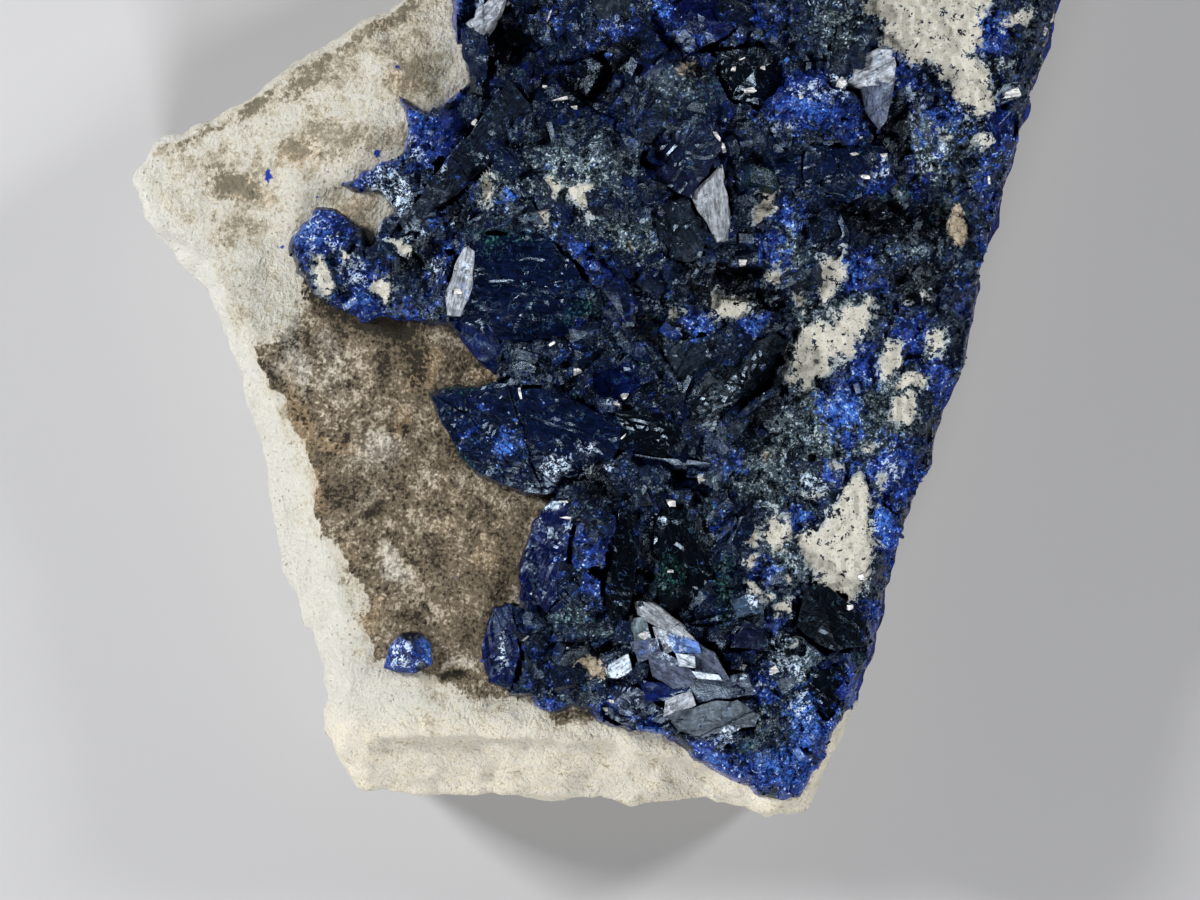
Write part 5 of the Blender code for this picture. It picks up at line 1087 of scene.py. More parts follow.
# Each large crystal: its tone, how dull it is, how grooved, its growth steps, then its corners as
# x, y and height above the face.
# The light grey and white tones of the sheen plates, glint chips and mirrors are painted reflections and
# painted glints.
LARGE_CRYSTALS = {
    "corner_blade": (NAVY, 0.2, 0.6, 1, [
        (46.5, -1.6, 3.6), (48.4, -2.6, 4.6), (48.7, 3.0, 4.8), (48.9, 8.0, 4.0), (47.4, 9.6, 2.4),
        (46.3, 5.0, 2.6)]),
    "silver_plate": (FOIL_SHEEN, 0.5, 0.8, 2, [
        (46.7, 2.5, 4.6), (48.2, 0.8, 5.1), (51.3, -0.8, 6.6), (50.3, 1.3, 6.1), (48.4, 4.0, 5.2)]),
    "long_blade": (INK, 0.2, 0.8, 2, [
        (51.0, 8.4, 5.8), (53.2, 10.8, 4.6), (49.3, 16.2, 4.0), (44.3, 20.7, 3.0), (40.6, 23.9, 1.9),
        (40.1, 22.3, 2.6), (43.1, 18.5, 4.0), (47.0, 13.6, 5.0)]),
    "top_shield": (CHARCOAL, 0.6, 0.5, 2, [
        (59.4, -4.0, 6.6), (64.2, -3.6, 6.2), (63.8, 1.8, 5.4), (61.3, 3.2, 5.4), (59.1, 1.0, 6.0)]),
    "top_ridge": (NIGHT, 0.2, 0.3, 2, [
        (65.0, 1.0, 5.4), (72.5, -1.0, 6.4), (73.2, 3.4, 5.4), (69.5, 5.6, 4.6), (65.8, 4.8, 4.6),
        (69.0, 1.6, 6.6)]),
    "black_prism": (BLACK, 0.0, 0.0, 1, [
        (71.6, 5.5, 5.0), (75.4, 4.9, 6.2), (78.0, 5.9, 5.6), (78.3, 9.4, 4.4), (75.8, 10.9, 4.6),
        (72.6, 9.9, 4.6), (75.2, 7.4, 6.7)]),
    "violet_blade": (DUSK, 0.3, 0.3, 1, [
        (65.2, 14.2, 4.9), (69.8, 11.6, 6.2), (72.3, 15.0, 6.3), (69.0, 19.9, 4.6), (64.6, 18.1, 3.9)]),
    "grey_mirror": (PEWTER_SHEEN, 0.7, 0.25, 0, [
        (68.9, 19.7, 4.2), (72.1, 16.7, 5.4), (72.9, 21.5, 5.8), (72.6, 24.1, 5.7), (71.7, 24.4, 5.4),
        (70.5, 22.5, 4.9)]),
    "under_plate": (CHARCOAL, 0.3, 0.5, 2, [
        (65.4, 20.6, 3.8), (68.6, 20.0, 4.3), (70.8, 23.6, 3.6), (70.3, 26.1, 2.6), (67.0, 26.3, 2.4),
        (65.1, 23.2, 3.0)]),
    "silver_crystal": (FOIL_SHEEN, 0.4, 0.4, 1, [
        (83.9, 8.2, 4.8), (85.4, 6.4, 5.6), (87.4, 5.2, 6.2), (88.7, 5.4, 6.9), (89.4, 7.0, 7.2),
        (89.0, 8.8, 6.6), (87.2, 8.4, 6.0), (85.2, 9.0, 5.2)]),
    "silver_foot": (SLATE, 0.4, 0.7, 1, [
        (85.6, 8.8, 5.3), (87.3, 8.6, 6.1), (89.2, 8.7, 6.5), (88.8, 10.8, 5.4), (87.7, 13.4, 3.8),
        (86.4, 11.4, 4.3)]),
    "bright_chip": (ICE, 0.1, 0.0, 0, [
        (83.1, 8.3, 4.4), (84.7, 8.4, 5.1), (83.8, 10.2, 4.6), (84.0, 7.6, 4.9)]),
    "ledge_block": (NAVY, 0.2, 0.3, 2, [
        (80.4, 14.6, 4.8), (88.4, 14.8, 4.9), (89.0, 18.6, 4.4), (85.0, 19.8, 4.8), (80.2, 19.1, 4.6),
        (84.0, 16.6, 6.0)]),
    "ledge_tooth": (NAVY, 0.1, 0.2, 1, [
        (75.6, 15.6, 4.0), (79.8, 15.0, 5.0), (80.0, 18.4, 4.6), (77.0, 19.0, 3.6)]),
    "edge_blue": (INDIGO, 0.0, 0.2, 1, [
        (98.6, 11.4, 2.6), (101.4, 10.9, 2.0), (101.4, 12.7, 1.7), (100.3, 15.9, 1.7),
        (98.7, 15.7, 2.4), (99.7, 12.7, 3.3)]),
    "edge_mirror": (SILVER, 0.1, 0.1, 0, [
        (99.2, 9.9, 3.4), (100.2, 8.6, 3.3), (101.8, 8.3, 2.6), (101.9, 9.7, 2.4), (99.8, 10.6, 3.0)]),
    "broad_face": (NAVY, 0.0, 0.1, 2, [
        (47.8, 23.6, 4.8), (54.4, 23.6, 5.2), (59.8, 29.2, 4.4), (57.6, 33.2, 3.2), (51.5, 34.7, 2.6),
        (46.6, 32.6, 2.9), (47.2, 27.4, 4.4), (45.2, 27.4, 3.6), (44.6, 31.4, 2.5)]),
    "sheen_strip": (FOIL_SHEEN, 0.5, 0.9, 0, [
        (46.7, 24.6, 5.2), (47.6, 25.4, 5.4), (47.4, 28.4, 4.9), (46.2, 31.6, 3.9), (44.9, 31.6, 3.3),
        (44.6, 29.8, 3.7), (45.6, 26.8, 4.7)]),
    "rounded_lobe": (INDIGO, 0.3, 0.6, 1, [
        (45.0, 32.1, 2.4), (48.5, 31.8, 3.0), (50.6, 35.4, 2.4), (49.4, 37.5, 1.2), (47.0, 35.1, 1.3)]),
    "wedge": (NAVY, 0.1, 0.3, 2, [
        (44.6, 39.0, 2.4), (50.2, 38.5, 3.9), (56.5, 39.4, 4.6), (62.4, 42.4, 4.5), (61.4, 46.1, 4.1),
        (56.0, 47.0, 3.5), (43.4, 39.8, 1.5), (44.1, 41.6, 1.5), (46.1, 45.4, 1.5), (48.0, 47.5, 1.3),
        (52.2, 49.2, 1.5), (55.4, 49.3, 1.8), (51.8, 43.0, 4.1)]),
    "deep_glass": (INDIGO, 0.0, 0.0, 1, [
        (59.0, 37.4, 3.7), (63.0, 35.8, 4.4), (64.8, 37.6, 4.1), (63.4, 39.9, 3.6), (60.0, 40.1, 3.4)]),
    "dark_shield": (BLACK, 0.1, 0.1, 1, [
        (61.4, 41.2, 4.9), (66.4, 40.6, 4.7), (68.5, 43.0, 3.9), (66.6, 45.7, 3.6), (62.0, 45.1, 4.2)]),
    "lone_blade": (BLACK, 0.35, 0.7, 1, [
        (77.2, 33.3, 5.8), (78.7, 34.3, 4.8), (78.2, 36.6, 3.4), (74.9, 40.5, 3.0), (73.8, 39.7, 5.6),
        (71.0, 43.4, 3.5), (68.0, 42.2, 3.6), (68.8, 39.4, 4.0), (70.4, 37.4, 4.4),
        (73.0, 35.4, 5.0)]),
    "ledge_upper": (NAVY, 0.2, 0.5, 0, [
        (62.6, 45.4, 3.9), (72.0, 46.3, 3.6), (72.6, 47.3, 2.8), (62.4, 46.8, 3.0)]),
    "ledge_lower": (NAVY, 0.2, 0.5, 0, [
        (63.0, 47.6, 3.2), (72.8, 48.3, 2.9), (72.2, 49.7, 2.1), (63.6, 49.2, 2.4)]),
    "dark_column": (BLACK, 0.05, 0.3, 1, [
        (64.8, 50.2, 3.9), (70.3, 50.4, 3.7), (71.7, 55.0, 3.5), (70.7, 60.4, 3.0), (66.0, 61.2, 3.2),
        (65.2, 55.0, 4.4), (67.0, 52.0, 5.2), (67.8, 58.4, 4.5)]),
    "blue_column": (NIGHT, 0.05, 0.5, 1, [
        (55.2, 49.8, 2.9), (57.4, 50.0, 3.9), (57.2, 53.6, 4.0), (56.0, 59.4, 3.6), (54.4, 61.6, 3.0),
        (52.2, 60.0, 1.8), (52.0, 56.5, 2.0), (53.6, 52.0, 2.4)]),
    "dark_band": (BLACK, 0.1, 0.4, 1, [
        (61.8, 50.8, 4.6), (63.8, 51.0, 4.4), (63.9, 55.6, 4.4), (62.8, 61.0, 4.2), (61.0, 62.6, 4.0),
        (60.4, 59.6, 4.4), (61.4, 54.6, 5.0)]),
    "small_lobe": (NIGHT, 0.3, 0.9, 2, [
        (49.4, 60.8, 1.9), (51.3, 60.6, 2.9), (52.0, 65.0, 3.3), (51.2, 68.8, 2.2), (49.0, 68.3, 1.4),
        (48.4, 64.5, 1.4)]),
    "white_chip": (GLINT_WHITE, 0.2, 0.1, 0, [
        (60.5, 66.6, 3.5), (62.8, 65.2, 4.4), (63.3, 67.0, 4.6), (61.8, 67.7, 4.0),
        (60.7, 67.5, 3.6)]),
    "long_leaf": (PEWTER_SHEEN, 0.6, 0.3, 1, [
        (63.6, 60.0, 4.2), (65.3, 60.1, 4.8), (66.7, 61.2, 5.4), (68.3, 62.5, 5.9),
        (69.5, 64.0, 6.4), (67.4, 63.7, 5.6), (66.0, 62.3, 5.1), (63.8, 61.5, 4.3)]),
    "leaf_two": (FOIL_SHEEN, 0.4, 0.4, 0, [
        (65.3, 62.6, 4.2), (67.3, 62.9, 4.8), (68.0, 64.5, 5.0), (66.6, 65.3, 4.6),
        (65.7, 64.5, 4.3)]),
    "leaf_three": (SLATE, 0.5, 0.2, 0, [
        (68.3, 64.3, 5.5), (69.7, 64.1, 6.0), (71.3, 65.1, 6.5), (72.8, 67.7, 6.8),
        (69.7, 67.2, 5.9), (68.6, 65.4, 5.6)]),
    "leaf_four": (SLATE, 0.4, 0.1, 0, [
        (64.8, 65.5, 4.7), (66.1, 64.9, 5.1), (67.7, 65.9, 5.6), (69.6, 67.0, 6.2),
        (69.3, 68.3, 6.1), (67.3, 68.7, 5.3), (65.2, 67.4, 4.7)]),
    "leaf_five": (FOIL_SHEEN, 0.4, 0.5, 0, [
        (66.5, 69.8, 4.2), (69.1, 69.0, 5.0), (69.5, 70.3, 5.1), (66.2, 71.5, 4.1)]),
    "lens": (MIST, 0.6, 0.3, 1, [
        (66.2, 71.3, 3.5), (68.8, 70.6, 4.6), (71.2, 70.0, 5.4), (73.7, 69.9, 5.6),
        (75.9, 71.3, 5.0), (75.5, 72.4, 4.4), (72.7, 73.1, 3.8), (69.7, 73.8, 3.0),
        (67.6, 72.7, 2.8)]),
    "leaf_six": (LEAD, 0.5, 0.2, 0, [
        (62.8, 61.8, 3.7), (64.7, 61.6, 4.3), (65.1, 63.9, 4.4), (63.2, 64.4, 3.9)]),
    "dark_tile": (DUSK, 0.3, 0.1, 1, [
        (72.8, 64.7, 4.9), (74.3, 62.0, 5.3), (76.2, 63.0, 5.2), (76.5, 64.8, 4.6)]),
    "ash_tile": (STEEL, 0.4, 0.3, 1, [
        (73.0, 60.0, 4.2), (75.6, 59.2, 4.8), (76.2, 61.0, 4.9), (73.6, 61.6, 4.3)]),
    "corner_block": (BLACK, 0.4, 0.2, 0, [
        (80.4, 58.8, 3.4), (82.3, 58.3, 3.7), (85.0, 60.4, 3.6), (86.7, 61.7, 2.6), (86.2, 64.4, 2.1),
        (83.6, 65.1, 2.6), (81.4, 64.1, 3.1), (79.6, 62.6, 3.0), (82.6, 61.4, 4.0)]),
    "corner_chip": (BLACK, 0.0, 0.2, 1, [
        (80.8, 67.2, 2.7), (84.0, 66.4, 2.6), (84.4, 69.4, 2.1), (82.7, 71.9, 1.9), (80.7, 69.8, 2.5)]),
    "slanting_plates": (DUSK, 0.3, 0.8, 2, [
        (60.2, 68.3, 3.0), (63.5, 68.6, 3.9), (66.5, 71.0, 3.4), (66.9, 72.3, 2.6), (63.0, 72.9, 1.6),
        (60.0, 71.1, 1.8)]),
    "dark_shelf": (CHARCOAL, 0.2, 0.5, 1, [
        (66.2, 34.4, 2.8), (71.4, 33.6, 4.0), (71.8, 37.0, 3.6), (67.2, 38.4, 3.0)]),
    "white_sheen_sliver": (GLINT_WHITE, 0.3, 0.0, 0, [
        (67.4, 65.2, 6.0), (69.3, 65.5, 6.5), (69.5, 66.5, 6.4), (67.9, 66.4, 6.0)]),
    "pale_sheen_sliver": (GLINT_WHITE, 0.3, 0.0, 0, [
        (69.1, 66.8, 6.5), (71.7, 67.3, 6.9), (72.0, 67.9, 6.6), (69.7, 67.7, 6.3)]),
    "azure_leaf": (SKY, 0.3, 0.2, 0, [
        (66.8, 63.2, 5.4), (69.7, 64.0, 6.2), (70.1, 65.2, 6.1), (67.3, 65.2, 5.5)]),
    "violet_leaf": (DUSK, 0.3, 0.3, 0, [
        (68.5, 67.8, 5.8), (74.7, 67.1, 6.2), (75.5, 69.3, 5.4), (69.7, 70.1, 4.8)]),
    "lower_leaf": (INDIGO, 0.2, 0.3, 0, [
        (63.8, 67.7, 4.2), (69.5, 68.6, 5.2), (68.8, 69.7, 4.6), (64.6, 70.0, 3.8)]),
    "upper_leaf": (SLATE, 0.4, 0.2, 0, [
        (63.0, 64.0, 4.2), (65.7, 63.6, 4.8), (66.2, 65.3, 4.8), (63.8, 66.2, 4.2)]),
    "crown_one": (NAVY, 0.1, 0.2, 2, [
        (77.0, -9.0, 4.6), (82.0, -10.5, 5.2), (84.0, -6.0, 4.6), (79.0, -4.4, 4.2), (80.6, -7.6, 6.2)]),
    "crown_two": (CHARCOAL, 0.3, 0.3, 2, [
        (53.0, -5.8, 3.6), (57.6, -7.6, 4.4), (58.6, -3.0, 5.2), (54.4, -1.6, 5.0)]),
    "crown_three": (INDIGO, 0.1, 0.2, 2, [
        (66.0, -9.0, 3.8), (71.5, -10.6, 4.2), (73.0, -6.2, 4.8), (68.4, -4.4, 5.0)]),
}

# Painted glints: small near-white tiles where cleavage faces catch the light: x, y, half length, half width
# and turn.
GLINTS = [
    (57.8, 37.2, 0.45, 0.35, 0), (52.0, 39.3, 0.65, 0.14, -80), (45.9, 29.2, 0.4, 0.3, 0),
    (67.0, 50.2, 0.5, 0.4, 0), (74.3, 26.3, 0.45, 0.35, 10), (62.5, 39.6, 0.4, 0.3, 30),
    (61.6, 40.4, 0.4, 0.2, -30), (56.4, 50.1, 0.5, 0.12, 0), (57.0, 51.8, 1.2, 0.14, -10),
    (55.3, 34.4, 0.4, 0.16, 30), (75.2, 9.4, 0.9, 0.32, 15), (73.2, 7.3, 0.3, 0.25, 0),
    (76.1, 7.2, 0.25, 0.2, 0), (74.0, 6.3, 0.4, 0.10, 20), (83.8, 8.8, 0.6, 0.5, 40),
    (100.8, 9.6, 1.0, 0.5, 20), (104.4, 3.0, 0.5, 0.35, 60), (85.2, 15.7, 0.6, 0.16, 10),
    (88.1, 15.8, 0.4, 0.2, 0), (80.0, 17.4, 0.45, 0.4, 30), (80.1, 10.0, 0.4, 0.3, 0),
    (86.3, 17.9, 0.4, 0.3, 20), (98.8, 18.1, 0.16, 0.4, 0), (71.6, 14.0, 0.7, 0.16, -60),
    (72.2, 15.0, 0.6, 0.18, -75), (61.1, 70.0, 0.3, 0.2, 0), (60.5, 70.8, 0.3, 0.2, 0),
    (52.8, 63.5, 0.8, 0.14, 40), (54.9, 1.8, 0.6, 0.14, 70), (56.0, 10.2, 0.8, 0.16, 10),
    (54.6, 9.0, 0.3, 0.2, 0), (57.4, 11.0, 0.3, 0.25, 0), (64.4, 63.4, 0.6, 0.4, 20),
    (67.0, 57.0, 0.3, 0.15, 0), (70.8, 52.0, 0.2, 0.8, 0), (56.2, 56.6, 0.3, 0.25, 0),
    (84.8, 60.7, 0.35, 0.3, 0), (86.0, 57.6, 0.3, 0.3, 0), (77.2, 67.0, 0.5, 0.4, 30),
    (74.2, 66.6, 0.4, 0.3, 0), (62.4, 43.6, 0.4, 0.1, 50), (47.6, 12.4, 0.4, 0.2, 60),
]


def hull_of(corners):
    """The closed body round a crystal's corners and its wider root."""
    shape = bmesh.new()
    middle = np.mean([corner[:2] for corner in corners], 0)
    for x, y, height in corners:
        shape.verts.new(plan(x, y, FACE + height))
        foot = middle + (np.array((x, y)) - middle) * 1.06
        shape.verts.new(plan(*foot, FACE - ROOT))
    hull = bmesh.ops.convex_hull(shape, input=shape.verts)
    bmesh.ops.delete(shape, geom=new_corners(hull["geom_interior"]), context="VERTS")
    bmesh.ops.dissolve_limit(shape, angle_limit=math.radians(2.0), verts=shape.verts, edges=shape.edges)
    bmesh.ops.recalc_face_normals(shape, faces=shape.faces)
    return shape


def add_step(shape, direction, offset, rise):
    """Raises the part of a crystal's top on one side of an upright cut: one growth step."""
    middle = sum((vertex.co for vertex in shape.verts), Vector()) / len(shape.verts)
    place = middle + direction * offset * MM
    cut(shape, place, direction)
    top = [face for face in shape.faces if face.normal.z > 0.35
           and (face.calc_center_median() - place).dot(direction) > 0.0]
    if not top:
        return
    edges = dict.fromkeys(edge for face in top for edge in face.edges)
    grown = bmesh.ops.extrude_face_region(shape, geom=[*top, *edges])
    bmesh.ops.translate(shape, vec=(0.0, 0.0, rise * MM), verts=new_corners(grown["geom"]))


def make_finer(shape, reaches):
    """Splits the edges longer than each reach in turn: the short ones only where they can show."""
    for reach in reaches:
        lowest = (FACE - BURIED) * MM if reach < COARSE else 0.0
        long_edges = [edge for edge in shape.edges if edge.calc_length() > reach * MM
                      and max(vertex.co.z for vertex in edge.verts) > lowest]
        bmesh.ops.subdivide_edges(shape, edges=long_edges, cuts=1)
        bmesh.ops.triangulate(shape, faces=shape.faces)


def large_crystal(corners, steps):
    shape = hull_of(corners)
    for _ in range(steps):
        angle = rng.uniform(0.0, math.tau)
        direction = Vector((math.cos(angle), math.sin(angle), 0.0))
        add_step(shape, direction, rng.uniform(-1.0, 1.2), rng.uniform(0.12, 0.30))
    sharp = [edge for edge in shape.edges if edge.is_manifold and edge.calc_face_angle() > math.radians(14)]
    bmesh.ops.bevel(shape, geom=sharp, offset=0.05 * MM, segments=1, profile=0.5, affect="EDGES",
                    material=-1, clamp_overlap=True)
    bmesh.ops.triangulate(shape, faces=shape.faces)
    make_finer(shape, (4.0, 2.0, 1.0, 0.5))
    return shape


def join(shapes, name):
    """Joins bmeshes in one mesh, and says how many vertices each had."""
    points, faces, counts = [], [], []
    for shape in shapes:
        shape.verts.index_update()
        faces += [[len(points) + vertex.index for vertex in face.verts] for face in shape.faces]
        points += [vertex.co[:] for vertex in shape.verts]
        counts.append(len(shape.verts))
        shape.free()
    mesh = bpy.data.meshes.new(name)
    mesh.from_pydata(points, [], faces)
    return mesh, counts


def weathered(points, lengthwise, roughness):
    """A crystal's points with steps and splinters along its length, and a broken outline."""
    angle = math.atan2(lengthwise[1], lengthwise[0])
    x, y = sheet_of(points).T
    along = x * math.cos(angle) + y * math.sin(angle)
    across = y * math.cos(angle) - x * math.sin(angle)
    lanes = ripple(np.stack([along / 3.0, across], -1), 2.0, 71) + 0.4 * ripple(points / MM, 1.5, 79)
    rise = 0.42 * np.round(lanes * 2.0) / 2.0 + 0.05 * ripple(np.stack([along / 2.0, across], -1), 0.5, 73)
    push = np.stack([ripple(points / MM, 1.3, seed) * 0.40 + ripple(points / MM, 0.5, seed + 1) * 0.06
                     for seed in (75, 77)] + [rise], -1)
    return points + push * roughness * MM


def large_crystals():
    """The mesh of all the large crystals, painted."""
    kinds = list(LARGE_CRYSTALS.values())
    shapes = [large_crystal(corners, steps) for _, _, _, steps, corners in kinds]
    mesh, counts = join(shapes, "azurite_crystals")
    points = coordinates(mesh)
    across, trend, start = [], [], 0
    for count, kind in zip(counts, kinds):
        own = points[start:start + count]
        centred = sheet_of(own) - sheet_of(own).mean(0)
        crosswise, lengthwise = np.linalg.eigh(centred.T @ centred)[1].T
        across.append(centred @ crosswise)
        trend.append(math.atan2(lengthwise[1], lengthwise[0]))
        points[start:start + count] = weathered(own, lengthwise, 0.35 + 0.25 * kind[3])
        start += count
    set_coordinates(mesh, points)
    for k, name in enumerate(("tone", "dull", "lined")):
        paint(mesh, name, np.repeat([kind[k] for kind in kinds], counts, 0))
    paint(mesh, "trend", np.repeat(trend, counts))
    paint(mesh, "across", np.concatenate(across))
    return mesh


# ---------------------------------------------------------------------- the small crystals

SMALL_CRYSTALS = 3400                        # how many are tried, before those in the way go
DRUSE_CRYSTALS = 16000


def block_form(proportions, cuts):
    """A broken crystal 1 long: a box with corners and ends cut off by planes."""
    shape = bmesh.new()
    bmesh.ops.create_cube(shape, size=1.0)
    bmesh.ops.scale(shape, vec=Vector(proportions), verts=shape.verts)
    for _ in range(cuts):
        normal = Vector(rng.normal(size=3)).normalized()
        normal.z = abs(normal.z)
        reach = max(vertex.co.dot(normal) for vertex in shape.verts)
        cut(shape, normal * reach * rng.uniform(0.62, 0.86), normal, remove=True)
    bmesh.ops.triangulate(shape, faces=shape.faces)
    bmesh.ops.recalc_face_normals(shape, faces=shape.faces)
    shape.verts.index_update()
    points = np.array([vertex.co for vertex in shape.verts])
    faces = np.array([[vertex.index for vertex in face.verts] for face in shape.faces])
    shape.free()
    return points, faces


def turns(turn, lean, roll):
    """Rotation matrices: roll about the length, lean from upright, then turn on the sheet."""
    def about(axis, angle):
        c, s, o, i = np.cos(angle), np.sin(angle), np.zeros_like(angle), np.ones_like(angle)
        rows = {"x": [i, o, o, o, c, -s, o, s, c], "y": [c, o, s, o, i, o, -s, o, c],
                "z": [c, -s, o, s, c, o, o, o, i]}[axis]
        return np.stack(rows, -1).reshape(-1, 3, 3)
    return about("z", turn) @ about("y", lean) @ about("x", roll)


def scattered(name, forms, centres, sizes, rotations, tones, dulls):
    """Joins many small bodies in one mesh: one of the forms at each centre."""
    which = rng.integers(0, len(forms), len(centres))
    points, faces, tone, dull, start = [], [], [], [], 0
    for k, (form, triangles) in enumerate(forms):
        chosen = np.flatnonzero(which == k)
        placed = np.einsum("nij,vj->nvi", rotations[chosen], form) * sizes[chosen, None, None]
        placed += centres[chosen, None, :]
        points.append(placed.reshape(-1, 3))
        first = start + len(form) * np.arange(len(chosen))
        faces.append((first[:, None, None] + triangles[None]).reshape(-1, 3))
        tone.append(np.repeat(tones[chosen], len(form), 0))
        dull.append(np.repeat(dulls[chosen], len(form)))
        start += len(form) * len(chosen)
    mesh = bpy.data.meshes.new(name)
    mesh.from_pydata(np.concatenate(points).tolist(), [], np.concatenate(faces).tolist())
    paint(mesh, "tone", np.concatenate(tone))
    paint(mesh, "dull", np.concatenate(dull))
    return mesh


def pick_tones(blue, azure, ash, green, lively):
    """A tone for each small crystal, by the zone that it stands in and how lively it may be."""
    count = len(blue)
    tones = np.array([BLACK, NAVY, CHARCOAL, INDIGO, STEEL, SILVER, ULTRAMARINE, AZURE, ICE, PINE,
                      VERDIGRIS])
    weights = np.stack([
        2.4 - 2.2 * blue, 2.0 - 0.9 * blue, 0.5 + 1.0 * ash, 0.30 + 1.4 * blue, 0.10 + 0.7 * ash,
        0.015 + 0.12 * ash, 0.03 + 1.5 * blue, 0.004 + 0.10 * blue + 1.0 * azure, 0.006 + 0.10 * azure,
        0.05 + 0.8 * green, 0.004 + 0.12 * green], -1)
    weights = np.clip(weights, 0.0, None) * np.where(np.arange(len(tones)) > 3, lively, 1.0)
    reach = np.cumsum(weights, -1) / weights.sum(-1, keepdims=True)
    chosen = (rng.random(count)[:, None] > reach).sum(-1)
    return tones[np.clip(chosen, 0, len(tones) - 1)] * rng.uniform(0.6, 1.4, (count, 1))


def crystal_places(crust, count, inset):
    """Random places on the azurite, clear of its chalk windows and of its edge."""
    x = rng.uniform(CRUST_LEFT, CRUST_RIGHT, count)
    y = rng.uniform(CRUST_TOP, CRUST_BOTTOM, count)
    bare = np.maximum(crust.at(crust.masks["chalk"], x, y), crust.at(crust.masks["tan"], x, y))
    good = (crust.at(crust.within, x, y) > inset) & (bare < rng.uniform(0.25, 0.6, count))
    return x[good], y[good]


def zones(crust, x, y):
    return [crust.at(crust.masks[name], x, y) for name in ("blue", "azure", "ash", "green")]


def small_crystals(crust, material):
    """Crystals of about one to four millimetres, crowded between the large ones."""
    forms = [block_form((1.0, rng.uniform(0.45, 0.8), rng.uniform(0.35, 0.6)), 5) for _ in range(8)]
    x, y = crystal_places(crust, SMALL_CRYSTALS, 0.93)
    under = crust.at(crust.shown, x, y) & (rng.random(len(x)) > 0.12)
    flat = step(x, 74.0, 80.0) * step(y, 26.0, 30.0) * (1.0 - step(y, 58.0, 64.0))
    clear = np.maximum(0.75 * flat, 0.9 * crust.at(crust.masks["calm"], x, y))
    clear = np.maximum(clear, 0.9 * spots(np.stack([x, y], -1), OPEN_SPOTS))
    clear = np.maximum(clear, 0.95 * crust.at(crust.masks["shadow_and_dark"], x, y))
    keep = ~under & (rng.random(len(x)) > np.maximum(clear, 0.45 * central(x, y)))
    x, y = x[keep], y[keep]
    sizes = rng.choice([0.8, 1.3, 1.9, 2.8], len(x), p=[0.45, 0.33, 0.16, 0.06])
    sizes = sizes * rng.uniform(0.8, 1.2, len(x)) * (1.0 + 0.5 * central(x, y))
    trend = ripple(np.stack([x, y], -1), 9.0, 45) * math.pi
    rotations = turns(-trend + rng.normal(0.0, 0.5, len(x)), rng.normal(0.0, 0.45, len(x)),
                      rng.normal(0.0, 0.5, len(x)))
    heights = np.minimum(crust.at(crust.height, x, y) - 0.16 * sizes, CEILING - 0.5 * sizes)
    tones = pick_tones(*zones(crust, x, y), 0.15)
    mesh = scattered("azurite_small_crystals", forms, plan_all(x, y, heights), sizes * MM, rotations,
                     tones, rng.uniform(0.0, 0.25, len(x)))
    paint_zones(mesh, crust, 0.45, False)
    return place_piece("azurite_small_crystals", mesh, material, smooth=False)


def druse(crust, material):
    """The sparkle: thousands of crystals of up to half a millimetre."""
    forms = [block_form((1.0, rng.uniform(0.4, 0.7), rng.uniform(0.2, 0.4)), 2) for _ in range(6)]
    x, y = crystal_places(crust, DRUSE_CRYSTALS, 0.55)
    top = np.maximum(crust.at(crust.height, x, y), crust.at(crust.large, x, y))
    on_large = crust.at(crust.shown, x, y)
    blue, _, ash, _ = zones(crust, x, y)
    chance = np.where(on_large, 0.04 + 0.30 * blue, 0.40 + 0.50 * np.maximum(blue, ash))
    chance *= 1.0 - 0.85 * crust.at(np.maximum(crust.masks["calm"], crust.masks["shadow_and_dark"]), x, y)
    keep = rng.random(len(x)) < chance
    x, y, top, on_large = x[keep], y[keep], top[keep], on_large[keep]
    sizes = rng.uniform(0.20, 0.55, len(x)) * np.where(on_large, 0.6, 1.0)
    rotations = turns(rng.uniform(0.0, math.tau, len(x)), rng.normal(0.0, 0.6, len(x)),
                      rng.normal(0.0, 0.6, len(x)))
    tones = pick_tones(*zones(crust, x, y), 1.0)
    mesh = scattered("azurite_druse", forms, plan_all(x, y, top + 0.02), sizes * MM, rotations, tones,
                     rng.uniform(0.0, 0.4, len(x)))
    paint_zones(mesh, crust, 0.9, False)
    return place_piece("azurite_druse", mesh, material, smooth=False)


def glints(crust, material):
    """Painted glints: near-white tiles where cleavage faces catch the light, each a thin leaning tile
    bedded in what is under it.
    """
    shapes = []
    for x, y, half_length, half_width, turn in GLINTS:
        shape = bmesh.new()
        bmesh.ops.create_cube(shape, size=2.0)
        for angle in rng.uniform(0.0, math.tau, 3):
            outward = Vector((math.cos(angle), math.sin(angle), 0.0))
            cut(shape, outward * rng.uniform(0.5, 0.9), outward, remove=True)
        bmesh.ops.scale(shape, vec=(half_length * MM, half_width * MM, 0.15 * MM), verts=shape.verts)
        turned = Matrix.Rotation(math.radians(turn), 3, "Z")
        for axis in "XY":
            turned = turned @ Matrix.Rotation(rng.uniform(-0.3, 0.3), 3, axis)
        bmesh.ops.rotate(shape, matrix=turned, verts=shape.verts)
        at = np.array([x]), np.array([y])
        top = max(crust.at(crust.height, *at)[0], crust.at(crust.large, *at)[0])
        bmesh.ops.translate(shape, vec=plan(x, y, top + 0.05), verts=shape.verts)
        bmesh.ops.recalc_face_normals(shape, faces=shape.faces)
        bmesh.ops.triangulate(shape, faces=shape.faces)
        shapes.append(shape)
    mesh, counts = join(shapes, "azurite_glints")
    # A near-white tone: the painted highlight.
    paint(mesh, "tone", np.full((sum(counts), 3), 0.8))
    paint(mesh, "glass", np.ones(sum(counts)))
    return place_piece("azurite_glints", mesh, material, smooth=False)


